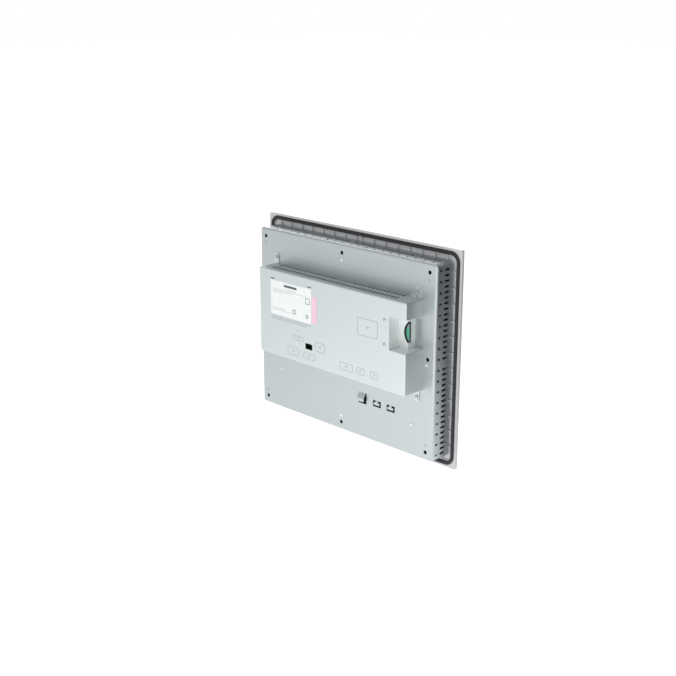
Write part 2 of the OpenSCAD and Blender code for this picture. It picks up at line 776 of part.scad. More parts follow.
module card_guide() {
  slot_z0 = card_z - card_w / 2 - card_gap;
  slot_z1 = card_z + card_w / 2 + card_gap;
  guide_y1 = recess_y - cover_t;
  color(dark) {
    // channel closed by the bracket floor
    difference() {
      block([guide_x0, guide_y0, guide_z0], [header_x, guide_y1, guide_z1]);
      block([guide_x0 - over, card_y0 - card_gap, slot_z0], [header_x + over, guide_y1 + over, slot_z1]);
    }
    // rim in the finger cut-out, carried by the two sides of the channel
    along_y(guide_y1 - 0.1, recess_y - fit) difference() {
      intersection() {
        finger_shape(fit);
        translate([lip_x + 2 * fit, guide_z0]) square([finger_w, guide_z1 - guide_z0]);
      }
      finger_shape(finger_rim);
    }
  }
}

module card_header() {
  color([0.1, 0.1, 0.11]) {
    block([header_x, guide_y0, guide_z0], [header_x + header_w, recess_y - cover_t, guide_z1]);
    // foot soldered on the edge of the board
    block([header_x + header_w - 2, board_y1, guide_z0 + 2],
      [header_x + 2 * header_w, board_y1 + 2, guide_z1 - 2]);
  }
}

module memory_card() {
  well = 0.7;
  color(dark) difference() {
    along_y(card_y0, card_y1) polygon([[card_x, card_z - card_w / 2], [card_x + card_l, card_z - card_w / 2],
      [card_x + card_l, card_z + card_w / 2 - 4], [card_x + card_l - 4, card_z + card_w / 2],
      [card_x, card_z + card_w / 2]]);
    // contact well on the hidden face
    block([card_x + card_l - 5, card_y0 - over, card_z - 10],
      [card_x + card_l + over, card_y0 + well, card_z + 7.5]);
  }
}

module card_label() {
  color([0.37, 0.65, 0.55]) block([card_x + 0.3, card_y1, card_z - card_label_w / 2],
    [card_x + card_label_l, card_y1 + card_label_t, card_z + card_label_w / 2]);
}

module dip_body() {
  color(dark) difference() {
    block([dip_x - dip_w / 2 + 0.2, dip_y0, dip_z - dip_h / 2 + 0.2],
      [dip_x + dip_w / 2 - 0.2, dip_y1, dip_z + dip_h / 2 - 0.2]);
    for (i = [-1.5:1:1.5]) block([dip_x + i * dip_pitch - lever_w / 2 - 0.2, lever_y0 - 0.2,
      dip_z - 2.2], [dip_x + i * dip_pitch + lever_w / 2 + 0.2, dip_y1 + over, dip_z + 2.2]);
  }
}

// lever number 1 sits at the +X end of the switch
module dip_lever(n) {
  x = dip_x + (2.5 - n) * dip_pitch;
  z = dip_z - dip_travel / 2;
  color([0.8, 0.82, 0.82])
    block([x - lever_w / 2, lever_y0, z - 0.9], [x + lever_w / 2, dip_y1 + 0.6, z + 0.9]);
}
module dip_lever_1() { dip_lever(1); }
module dip_lever_2() { dip_lever(2); }
module dip_lever_3() { dip_lever(3); }
module dip_lever_4() { dip_lever(4); }

module rating_label() {
  color([0.95, 0.96, 0.96]) along_y(cover_y, cover_y + label_t) translate([rating_x, rating_z])
    rounded(label_w, label_h, 1);
}

module seal_label() {
  color([0.96, 0.74, 0.84]) along_y(cover_y, cover_y + label_t) translate([seal_x, seal_z])
    rounded(seal_w, seal_h, 0.6);
}

// outline of a nine way shell, narrow side towards the board
module dsub_outline(w, h) {
  polygon([[-w / 2, h / 2], [w / 2, h / 2], [w / 2 - 1.4, -h / 2], [-w / 2 + 1.4, -h / 2]]);
}

module dsub_shell(x) {
  color(steel) translate([x, dsub_y, 0]) difference() {
    union() {
      along_z(dsub_z - 0.8, dsub_z) rounded(30.8, 12.5, 1);
      along_z(dsub_z - 6.2, dsub_z) dsub_outline(17, 8.4);
    }
    along_z(dsub_z - 6.2 - over, dsub_z + over) dsub_outline(16, 7.6);
    for (s = [-1, 1]) translate([s * jack_dx, 0, dsub_z - over - 0.8]) cylinder(3, 1.5, 1.5);
  }
}

module dsub_insert(x) {
  color(dark) translate([x, dsub_y, 0]) difference() {
    union() {
      along_z(dsub_z - 5.4, dsub_z + eps) dsub_outline(15.9, 7.5);
      along_z(dsub_z, dsub_z + 12) square([19, 9.6], center = true);
    }
    for (i = [-2:2]) translate([i * pin_pitch, pin_row, dsub_z - 5.4 - over])
      cylinder(6 + over, 0.55, 0.55, $fn = 16);
    for (i = [-1.5:1:1.5]) translate([i * pin_pitch, -pin_row, dsub_z - 5.4 - over])
      cylinder(6 + over, 0.55, 0.55, $fn = 16);
  }
}
module dsub_shell_a() { dsub_shell(dsub_a_x); }
module dsub_shell_b() { dsub_shell(dsub_b_x); }
module dsub_insert_a() { dsub_insert(dsub_a_x); }
module dsub_insert_b() { dsub_insert(dsub_b_x); }

module jack_posts() {
  color(steel) for (x = [dsub_a_x, dsub_b_x], s = [-1, 1]) translate([x + s * jack_dx, dsub_y, 0])
    difference() {
      union() {
        translate([0, 0, dsub_z - 5.8]) cylinder(5, 2.6, 2.6, $fn = 6);
        translate([0, 0, dsub_z - 0.8 - eps]) cylinder(5, 1.5, 1.5);
      }
      translate([0, 0, dsub_z - 5.8 - over]) cylinder(5, 1.2, 1.2);
    }
}

module lan_shield() {
  color(steel) translate([lan_x, lan_y, 0]) difference() {
    along_z(face_z - 0.6, face_z + 18) square([16, 13.6], center = true);
    along_z(face_z - 0.6 - over, face_z + 18 + over) square([15.2, 12.8], center = true);
  }
}

module lan_insert() {
  color(dark) translate([lan_x, lan_y, 0]) difference() {
    along_z(face_z - 0.4, face_z + 18) square([15.2, 12.8], center = true);
    along_z(face_z - 0.4 - over, face_z + 13) {
      square([11.7, 7], center = true);
      translate([0, 4]) square([6, 3], center = true);
      translate([0, 5]) square([3.6, 2], center = true);
    }
  }
}

module usb_shell(x) {
  color(steel) translate([x, usb_y, 0]) difference() {
    along_z(face_z - 0.6, face_z + 13) square([13.1, 5.7], center = true);
    along_z(face_z - 0.6 - over, face_z + 12) square([12.5, 5.1], center = true);
  }
}

module usb_tongue(x) {
  color(dark) translate([x, usb_y, 0]) along_z(face_z + 1, face_z + 12) translate([0, 1.2])
    square([11.1, 1.8], center = true);
}
module usb_shell_a() { usb_shell(usb_a_x); }
module usb_shell_b() { usb_shell(usb_b_x); }
module usb_tongue_a() { usb_tongue(usb_a_x); }
module usb_tongue_b() { usb_tongue(usb_b_x); }

module power_socket() {
  color([0.16, 0.30, 0.22]) translate([power_x, power_y, 0]) difference() {
    along_z(face_z - 1, face_z + 11) square([17.2, 11], center = true);
    along_z(face_z - 1 - over, face_z + 8) square([15.4, 8.6], center = true);
  }
}

module power_clamps() {
  color(steel) for (i = [-1:1]) translate([power_x + i * terminal_pitch, power_y, face_z + 4])
    cylinder(4 + eps, 0.6, 0.6, $fn = 4);
}

// openings in the cover underside for the sockets
module connector_cuts() {
  z0 = cover_z0 - over;
  z1 = cover_z0 + cover_t + over;
  for (x = [dsub_a_x, dsub_b_x]) translate([x, dsub_y, 0]) along_z(z0, z1) rounded(33, 13.6, 1.5);
  translate([lan_x, lan_y, 0]) along_z(z0, z1) square([16.2, 13.8], center = true);
  for (x = [usb_a_x, usb_b_x]) translate([x, usb_y, 0]) along_z(z0, z1) square([13.3, 5.9], center = true);
  translate([power_x, power_y, 0]) along_z(z0, z1) square([17.4, 11.2], center = true);
}

front_frame();
inner_frame();
front_foil();
touch_glass();
lcd_cell();
light_guide();
lcd_frame();
panel_gasket();
rear_housing();
housing_screws();
housing_rivets();
inverter_board();
lamp_cable();
electronics_cover();
cover_screws();
main_board();
board_spacers();
board_screws();
processor();
heat_sink();
battery_holder();
battery_cell();
display_cable();
card_bracket();
bracket_screws();
card_guide();
card_header();
memory_card();
card_label();
dip_body();
dip_lever_1();
dip_lever_2();
dip_lever_3();
dip_lever_4();
rating_label();
seal_label();
power_socket();
power_clamps();
dsub_shell_a();
dsub_insert_a();
dsub_shell_b();
dsub_insert_b();
jack_posts();
lan_shield();
lan_insert();
usb_shell_a();
usb_tongue_a();
usb_shell_b();
usb_tongue_b();
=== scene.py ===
"""Looks of a built-in operator touch panel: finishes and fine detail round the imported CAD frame.

The screen faces -Y, the rear faces +Y and +Z is up. Shapes are drawn in millimetres in the
frame of the CAD model and turned to metres when a piece is finished.
"""

import logging
import math
from dataclasses import dataclass, field
from enum import Enum
from typing import Iterable, Sequence

import bmesh
import bpy
from mathutils import Matrix, Vector


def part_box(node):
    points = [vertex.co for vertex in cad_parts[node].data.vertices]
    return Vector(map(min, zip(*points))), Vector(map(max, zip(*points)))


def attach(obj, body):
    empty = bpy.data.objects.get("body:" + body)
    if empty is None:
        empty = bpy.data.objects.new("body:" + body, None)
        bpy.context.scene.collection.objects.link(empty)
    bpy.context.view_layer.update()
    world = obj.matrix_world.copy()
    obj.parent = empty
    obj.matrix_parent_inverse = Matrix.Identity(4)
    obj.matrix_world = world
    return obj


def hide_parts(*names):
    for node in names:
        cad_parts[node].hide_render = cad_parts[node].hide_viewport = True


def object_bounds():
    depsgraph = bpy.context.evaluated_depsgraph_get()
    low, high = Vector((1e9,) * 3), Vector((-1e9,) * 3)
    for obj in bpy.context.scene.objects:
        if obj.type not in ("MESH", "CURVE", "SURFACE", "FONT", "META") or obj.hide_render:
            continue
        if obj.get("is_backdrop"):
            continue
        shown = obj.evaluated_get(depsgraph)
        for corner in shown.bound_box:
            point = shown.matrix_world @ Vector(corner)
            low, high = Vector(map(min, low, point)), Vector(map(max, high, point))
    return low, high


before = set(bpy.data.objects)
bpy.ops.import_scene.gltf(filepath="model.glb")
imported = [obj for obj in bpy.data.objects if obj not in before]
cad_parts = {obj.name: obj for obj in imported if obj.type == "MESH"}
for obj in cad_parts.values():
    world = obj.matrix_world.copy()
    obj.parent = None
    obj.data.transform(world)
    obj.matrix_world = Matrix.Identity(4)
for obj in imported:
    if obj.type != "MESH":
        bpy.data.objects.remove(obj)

MM = 0.001
# Shank radius and length of the small sheet metal screws, in millimetres
SCREW_R = 1.25
SCREW_L = 4.0
LOG = logging.getLogger("touch_panel")
Point = tuple[float, float, float]


# ---------------------------------------------------------------- finishes


def linear(hex_colour: str) -> tuple[float, float, float, float]:
    """Turns an sRGB hex colour to linear light.

    Args:
        hex_colour: six hex digits after a hash sign.

    Returns:
        Red, green, blue and an alpha of 1.
    """
    parts = [int(hex_colour[i:i + 2], 16) / 255 for i in (1, 3, 5)]
    red, green, blue = [p / 12.92 if p <= 0.04045 else ((p + 0.055) / 1.055) ** 2.4 for p in parts]
    return red, green, blue, 1.0


def per(size_mm: float) -> float:
    """Gives the texture scale, in cycles per metre, of a feature of that size in millimetres."""
    return 1 / (size_mm * MM)


def add_node(tree: bpy.types.NodeTree, kind: str, settings: dict | None = None,
             inputs: dict | None = None) -> bpy.types.Node:
    """Adds a shader node with its settings and links.

    Args:
        tree: the material's node tree.
        kind: Blender's name for the node.
        settings: the node's own attributes.
        inputs: a value, or the output socket to link, for each input by name or number.

    Returns:
        The node.
    """
    node = tree.nodes.new(kind)
    for key, value in (settings or {}).items():
        setattr(node, key, value)
    for key, value in (inputs or {}).items():
        if isinstance(value, bpy.types.NodeSocket):
            tree.links.new(value, node.inputs[key])
        else:
            node.inputs[key].default_value = value
    return node


@dataclass(frozen=True)
class Surface:
    """A material in the making: its tree, its shader and the object coordinates in metres."""

    tree: bpy.types.NodeTree
    shader: bpy.types.Node
    place: bpy.types.NodeSocket

    def tint(self, share: bpy.types.NodeSocket, first: str, second: str) -> None:
        """Blends the base colour between two hex colours.

        Args:
            share: how much of the second colour there is, from 0 to 1.
            first: hex colour at a share of 0.
            second: hex colour at a share of 1.
        """
        mix = add_node(self.tree, "ShaderNodeMix", {"data_type": "RGBA"},
                       {"Factor": share, 6: linear(first), 7: linear(second)})
        self.tree.links.new(mix.outputs[2], self.shader.inputs["Base Color"])

    def gloss(self, share: bpy.types.NodeSocket, middle: float, spread: float) -> None:
        """Lets the roughness vary over the surface.

        Args:
            share: pattern that it follows, mostly between 0.25 and 0.75.
            middle: roughness where the pattern is at its mean.
            spread: how far it varies either way.
        """
        reach = add_node(self.tree, "ShaderNodeMapRange", None, {
            "Value": share, "From Min": 0.25, "From Max": 0.75,
            "To Min": middle - spread, "To Max": middle + spread})
        self.tree.links.new(reach.outputs["Result"], self.shader.inputs["Roughness"])

    def relief(self, height: bpy.types.NodeSocket, depth_mm: float, strength: float = 1.0) -> None:
        """Raises the surface by a pattern.

        Args:
            height: the pattern, from 0 to 1.
            depth_mm: height at 1, in millimetres.
            strength: share of the relief that shows.
        """
        bump = add_node(self.tree, "ShaderNodeBump", None,
                        {"Height": height, "Distance": depth_mm * MM, "Strength": strength})
        self.tree.links.new(bump.outputs["Normal"], self.shader.inputs["Normal"])


def start_material(name: str, colour: str, roughness: float) -> tuple[bpy.types.Material, Surface]:
    """Makes a material with a constant colour and roughness.

    Args:
        name: the material's name.
        colour: its hex colour.
        roughness: its roughness.

    Returns:
        The material, and the surface on which a pattern is built.
    """
    material = bpy.data.materials.new(name)
    material.use_nodes = True
    tree = material.node_tree
    shader = tree.nodes["Principled BSDF"]
    shader.inputs["Base Color"].default_value = linear(colour)
    shader.inputs["Roughness"].default_value = roughness
    place = add_node(tree, "ShaderNodeTexCoord").outputs["Object"]
    return material, Surface(tree, shader, place)


@dataclass(frozen=True)
class Finish:
    """One real surface, named for its material and for how it was made."""

    name: str
    colour: str
    roughness: float = 0.5
    metallic: float = 0.0
    ior: float = 1.5
    coat: float = 0.0

    def material(self) -> bpy.types.Material:
        """Returns the finish's material, made at its first use."""
        return bpy.data.materials.get(self.name) or self.build()

    def build(self) -> bpy.types.Material:
        """Makes the shader with its constant values and adds the pattern.

        Returns:
            The new material.
        """
        material, on = start_material(self.name, self.colour, self.roughness)
        on.shader.inputs["Metallic"].default_value = self.metallic
        on.shader.inputs["Coat Weight"].default_value = self.coat
        if not self.metallic:
            on.shader.inputs["IOR"].default_value = self.ior
        self.pattern(on)
        return material

    def pattern(self, on: Surface) -> None:
        """Adds what varies over the surface.

        Args:
            on: the surface of the new material.
        """
        raise NotImplementedError


@dataclass(frozen=True)
class GalvanisedSheet(Finish):
    """Zinc coated steel sheet, skin passed: satin, with faint crystals and cloudy patches."""

    second: str = "#C4CCCE"
    crystal_mm: float = 5.0
    cloud_mm: float = 70.0
    grain_mm: float = 0.6

    def pattern(self, on: Surface) -> None:
        """Adds cloud, crystals and the fine skin pass grain.

        Args:
            on: the surface of the new material.
        """
        cloud = add_node(on.tree, "ShaderNodeTexNoise", None, {
            "Vector": on.place, "Scale": per(self.cloud_mm), "Detail": 2.0}).outputs["Fac"]
        crystal = add_node(on.tree, "ShaderNodeTexVoronoi", None, {
            "Vector": on.place, "Scale": per(self.crystal_mm)}).outputs["Color"]
        share = add_node(on.tree, "ShaderNodeMix", {"data_type": "FLOAT"},
                         {"Factor": 0.25, 2: cloud, 3: crystal}).outputs[0]
        on.tint(share, self.colour, self.second)
        on.gloss(share, self.roughness, 0.05)
        grain = add_node(on.tree, "ShaderNodeTexNoise", None, {
            "Vector": on.place, "Scale": per(self.grain_mm), "Detail": 3.0}).outputs["Fac"]
        on.relief(grain, 0.012, 0.5)


@dataclass(frozen=True)
class PaintedCasting(Finish):
    """Die cast aluminium under paint: even colour with a fine orange peel."""

    peel_mm: float = 1.4
    depth_mm: float = 0.02

    def pattern(self, on: Surface) -> None:
        """Adds the peel of the paint and the slight drift of its gloss.

        Args:
            on: the surface of the new material.
        """
        peel = add_node(on.tree, "ShaderNodeTexNoise", None, {
            "Vector": on.place, "Scale": per(self.peel_mm), "Detail": 2.0}).outputs["Fac"]
        on.relief(peel, self.depth_mm)
        drift = add_node(on.tree, "ShaderNodeTexNoise", None, {
            "Vector": on.place, "Scale": per(40), "Detail": 2.0}).outputs["Fac"]
        on.gloss(drift, self.roughness, 0.04)
        on.tint(drift, self.colour, shade(self.colour, 0.94))


@dataclass(frozen=True)
class Moulded(Finish):
    """Injection moulded plastic or rubber: spark eroded mould texture, slightly mottled."""

    spark_mm: float = 0.5
    depth_mm: float = 0.02

    def pattern(self, on: Surface) -> None:
        """Adds the mould's spark texture, drawn at half a millimetre so that it shows.

        Args:
            on: the surface of the new material.
        """
        spark = add_node(on.tree, "ShaderNodeTexNoise", None, {
            "Vector": on.place, "Scale": per(self.spark_mm), "Detail": 4.0}).outputs["Fac"]
        on.relief(spark, self.depth_mm)
        on.gloss(spark, self.roughness, 0.08)
        on.tint(spark, self.colour, shade(self.colour, 0.86))


@dataclass(frozen=True)
class Plated(Finish):
    """Zinc, tin, nickel or gold plating: bright metal with fine handling scratches."""

    scratch_mm: float = 0.35

    def pattern(self, on: Surface) -> None:
        """Adds scratches that run along one direction and a cloudy gloss.

        Args:
            on: the surface of the new material.
        """
        along = add_node(on.tree, "ShaderNodeMapping", None,
                         {"Vector": on.place, "Scale": (1.0, 0.12, 1.0)}).outputs["Vector"]
        scratch = add_node(on.tree, "ShaderNodeTexNoise", None, {
            "Vector": along, "Scale": per(self.scratch_mm), "Detail": 4.0}).outputs["Fac"]
        on.gloss(scratch, self.roughness, 0.09)
        on.tint(scratch, self.colour, shade(self.colour, 0.82))
        on.relief(scratch, 0.004)


@dataclass(frozen=True)
class ScreenGlass(Finish):
    """Etched anti-glare glass over a dark display: deep colour under a soft sheen."""

    etch_mm: float = 0.4

    def pattern(self, on: Surface) -> None:
        """Adds the etch, which breaks up reflections, and a faint tone drift.

        Args:
            on: the surface of the new material.
        """
        etch = add_node(on.tree, "ShaderNodeTexNoise", None, {
            "Vector": on.place, "Scale": per(self.etch_mm), "Detail": 2.0}).outputs["Fac"]
        on.relief(etch, 0.003)
        drift = add_node(on.tree, "ShaderNodeTexNoise", None, {
            "Vector": on.place, "Scale": per(90), "Detail": 1.0}).outputs["Fac"]
        on.tint(drift, self.colour, shade(self.colour, 0.8))
        on.gloss(drift, self.roughness, 0.03)


@dataclass(frozen=True)
class PrintedFoil(Finish):
    """Polyester front foil, screen printed on its back: fine velvet texture and a dark border."""

    border: str = "#3B4046"
    window_w: float = 250.0
    window_h: float = 188.0
    border_mm: float = 7.0
    velvet_mm: float = 0.5

    def pattern(self, on: Surface) -> None:
        """Prints the border round the window and adds the velvet texture of the foil.

        Args:
            on: the surface of the new material.
        """
        axes = add_node(on.tree, "ShaderNodeSeparateXYZ", None, {"Vector": on.place}).outputs
        reach = []
        for axis, size in (("X", self.window_w), ("Z", self.window_h)):
            away = add_node(on.tree, "ShaderNodeMath", {"operation": "ABSOLUTE"}, {0: axes[axis]})
            reach.append(add_node(on.tree, "ShaderNodeMath", {"operation": "SUBTRACT"},
                                  {0: away.outputs[0], 1: size / 2 * MM}).outputs[0])
        outside = add_node(on.tree, "ShaderNodeMath", {"operation": "MAXIMUM"},
                           {0: reach[0], 1: reach[1]}).outputs[0]
        printed = add_node(on.tree, "ShaderNodeMath", {"operation": "GREATER_THAN"},
                           {0: outside, 1: self.border_mm * MM}).outputs[0]
        on.tint(printed, self.border, self.colour)
        velvet = add_node(on.tree, "ShaderNodeTexNoise", None, {
            "Vector": on.place, "Scale": per(self.velvet_mm), "Detail": 2.0}).outputs["Fac"]
        on.relief(velvet, 0.008)
        on.gloss(velvet, self.roughness, 0.05)


@dataclass(frozen=True)
class LabelStock(Finish):
    """Laminated polyester label or dried ink: smooth film that follows tiny waves of the glue."""

    wave_mm: float = 9.0

    def pattern(self, on: Surface) -> None:
        """Adds the waves of the glue and a slight uneven tone.

        Args:
            on: the surface of the new material.
        """
        wave = add_node(on.tree, "ShaderNodeTexNoise", None, {
            "Vector": on.place, "Scale": per(self.wave_mm), "Detail": 2.0}).outputs["Fac"]
        on.relief(wave, 0.03)
        on.tint(wave, self.colour, shade(self.colour, 0.95))
        on.gloss(wave, self.roughness, 0.04)


@dataclass(frozen=True)
class SolderMask(Finish):
    """Glass epoxy board under solder mask: copper tracks show as lighter lines on a square grid."""

    track: str = "#2F8A63"
    pitch_mm: float = 2.54

    def pattern(self, on: Surface) -> None:
        """Draws tracks as the edges of square cells whose size varies over the board.

        Args:
            on: the surface of the new material.
        """
        tracks = add_node(on.tree, "ShaderNodeTexVoronoi",
                          {"feature": "DISTANCE_TO_EDGE"},
                          {"Vector": on.place, "Scale": per(self.pitch_mm), "Randomness": 0.35})
        line = add_node(on.tree, "ShaderNodeMath", {"operation": "LESS_THAN"},
                        {0: tracks.outputs["Distance"], 1: 0.09}).outputs[0]
        on.tint(line, self.colour, self.track)
        on.relief(line, 0.035)
        grain = add_node(on.tree, "ShaderNodeTexNoise", None, {
            "Vector": on.place, "Scale": per(0.8), "Detail": 2.0}).outputs["Fac"]
        on.gloss(grain, self.roughness, 0.06)


@dataclass(frozen=True)
class RibbonCable(Finish):
    """Flat flexible cable: parallel conductors show through a pale jacket as darker lines."""

    pitch_mm: float = 1.0

    def pattern(self, on: Surface) -> None:
        """Draws the conductors as bands across the cable's width.

        Args:
            on: the surface of the new material.
        """
        bands = add_node(on.tree, "ShaderNodeTexWave", {"bands_direction": "X"}, {
            "Vector": on.place, "Scale": per(self.pitch_mm) / math.tau * 2}).outputs["Fac"]
        on.tint(bands, shade(self.colour, 0.8), self.colour)
        on.relief(bands, 0.05)
        on.gloss(bands, self.roughness, 0.04)


def shade(hex_colour: str, share: float) -> str:
    """Darkens a hex colour.

    Args:
        hex_colour: the sRGB colour to start from.
        share: what each channel is multiplied by.

    Returns:
        The darker hex colour.
    """
    return "#" + "".join(f"{round(int(hex_colour[i:i + 2], 16) * share):02X}" for i in (1, 3, 5))


# Skin passed zinc on the housing: satin grey that drifts between blue and green
HOUSING_ZINC = GalvanisedSheet("galvanised_steel_skin_passed", "#AFB6B8", 0.44, 0.92,
                               second="#BEC4C6")
# The cover's sheet is finer and lighter, almost white in the light
COVER_ZINC = GalvanisedSheet("electrogalvanised_steel_fine", "#C6CDCE", 0.5, 1.0, second="#CDD3D4",
                             crystal_mm=3.0)
# The card recess is bent from the same sheet as the cover; its copy of the zinc is made lighter and
# less metallic to set how bright the recess walls look, which is painted light
BRACKET_ZINC = GalvanisedSheet("electrogalvanised_steel_lightened_painted_light", "#E0E7E6", 0.6, 0.5,
                               second="#E7EBEB", crystal_mm=3.0)
# Light grey paint on the die cast bezel: eggshell sheen
BEZEL_PAINT = PaintedCasting("aluminium_die_cast_painted", "#CDCDCF", 0.45)
# The inner frame is left as cast and blasted and dull; its dark grey is painted shade, since it is
# seen only deep inside the housing through the vents
CASTING_DARK_PAINTED_SHADE = PaintedCasting("aluminium_die_cast_blasted_painted_shade", "#4A4C4E", 0.7, 0.6, peel_mm=0.8)
# Moulded nitrile rubber: nearly black, with a dry bloom on its lips
GASKET_RUBBER = Moulded("nitrile_rubber_moulded", "#343438", 0.62, spark_mm=1.0)
# Front foil: printed polyester with a velvet face
FRONT_FOIL = PrintedFoil("polyester_foil_screen_printed", "#C3C6CC", 0.42)
# Touch glass over an unlit display: black with a blue cast
TOUCH_GLASS = ScreenGlass("touch_glass_etched", "#0E1318", 0.18, ior=1.52)
# Display cell behind the glass
DISPLAY_CELL = ScreenGlass("display_cell_polarised", "#11161B", 0.25)
# Clear acrylic light guide with a milky diffuser
LIGHT_GUIDE = Moulded("acrylic_light_guide_moulded", "#DADDE2", 0.3, coat=0.4)
# Pressed tray of the display: thin bright sheet
TRAY_SHEET = GalvanisedSheet("tinplate_pressed", "#B8BBBE", 0.35, 1.0, second="#C6C8CA")
# Zinc plated steel fasteners: bright with a blue cast
ZINC_SCREW = Plated("steel_zinc_plated", "#C9CDD0", 0.28, 1.0)
# Polished aluminium rivets, near white so that they show as white dots: partly their own shine,
# partly a painted highlight; the same finish paints highlights on the two dimple crowns
RIVET_AND_PAINTED_HIGHLIGHT = Plated("aluminium_polished_and_painted_highlight", "#F2F4F4", 0.2, 0.6)
# Green solder mask over copper
BOARD_MASK = SolderMask("epoxy_board_solder_mask", "#1C5E41", 0.35, coat=0.3)
# Black moulded plastic of guides, chips and sockets
BLACK_PLASTIC = Moulded("polyamide_black_moulded", "#0A1110", 0.5, ior=1.35)
# Green terminal body
TERMINAL_PLASTIC = Moulded("polyamide_green_moulded", "#2C6B4A", 0.5)
# Card shell: black plastic, smoother than the guide
CARD_SHELL = Moulded("polycarbonate_black_moulded", "#15201E", 0.35)
# Card label: plain green film
CARD_FILM = LabelStock("polyester_film_green", "#56A68A", 0.35, coat=0.2)
# Greyer bands over both ends of the card label
CARD_BANDS = LabelStock("grey_green_end_bands", "#7D9891", 0.4)
# Extruded heat sink: bare, slightly grey aluminium
SINK_ALUMINIUM = Plated("aluminium_extruded_bare", "#A9ADB0", 0.4, 1.0, scratch_mm=0.6)
# Nickel plated cell can
NICKEL_CAN = Plated("nickel_plated_can", "#C8C6C0", 0.22, 1.0)
# Pale jackets of the flat cables
FLAT_CABLE = RibbonCable("flat_cable_polyester", "#D9D3C2", 0.45)
# Pale switch levers
LEVER_PLASTIC = Moulded("polyamide_white_moulded", "#C9CDCC", 0.45)
# White label film
WHITE_LABEL = LabelStock("polyester_label_white", "#EBEFEF", 0.35, coat=0.2)
# Pink seal strip
PINK_LABEL = LabelStock("polyester_label_pink", "#EFC3D9", 0.4, coat=0.2)
# Printed ink in three strengths
DARK_INK = LabelStock("printed_ink_dark_grey", "#50585A", 0.5)
GREY_INK = LabelStock("printed_ink_grey", "#9FA8A9", 0.5)
PALE_INK = LabelStock("printed_ink_pale_grey", "#929B9C", 0.5)
# Tinned shells of the sockets
TINNED_SHELL = Plated("steel_tinned", "#C4C6C8", 0.25, 1.0)
# Gold flashed contacts
GOLD_CONTACT = Plated("bronze_gold_flashed", "#D9B45A", 0.2, 1.0)


# ------------------------------------------------------------------ shapes


def span(node: str) -> tuple[Vector, Vector]:
    """Returns the lowest and highest corner of a CAD node in millimetres."""
    low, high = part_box(node)
    return low / MM, high / MM


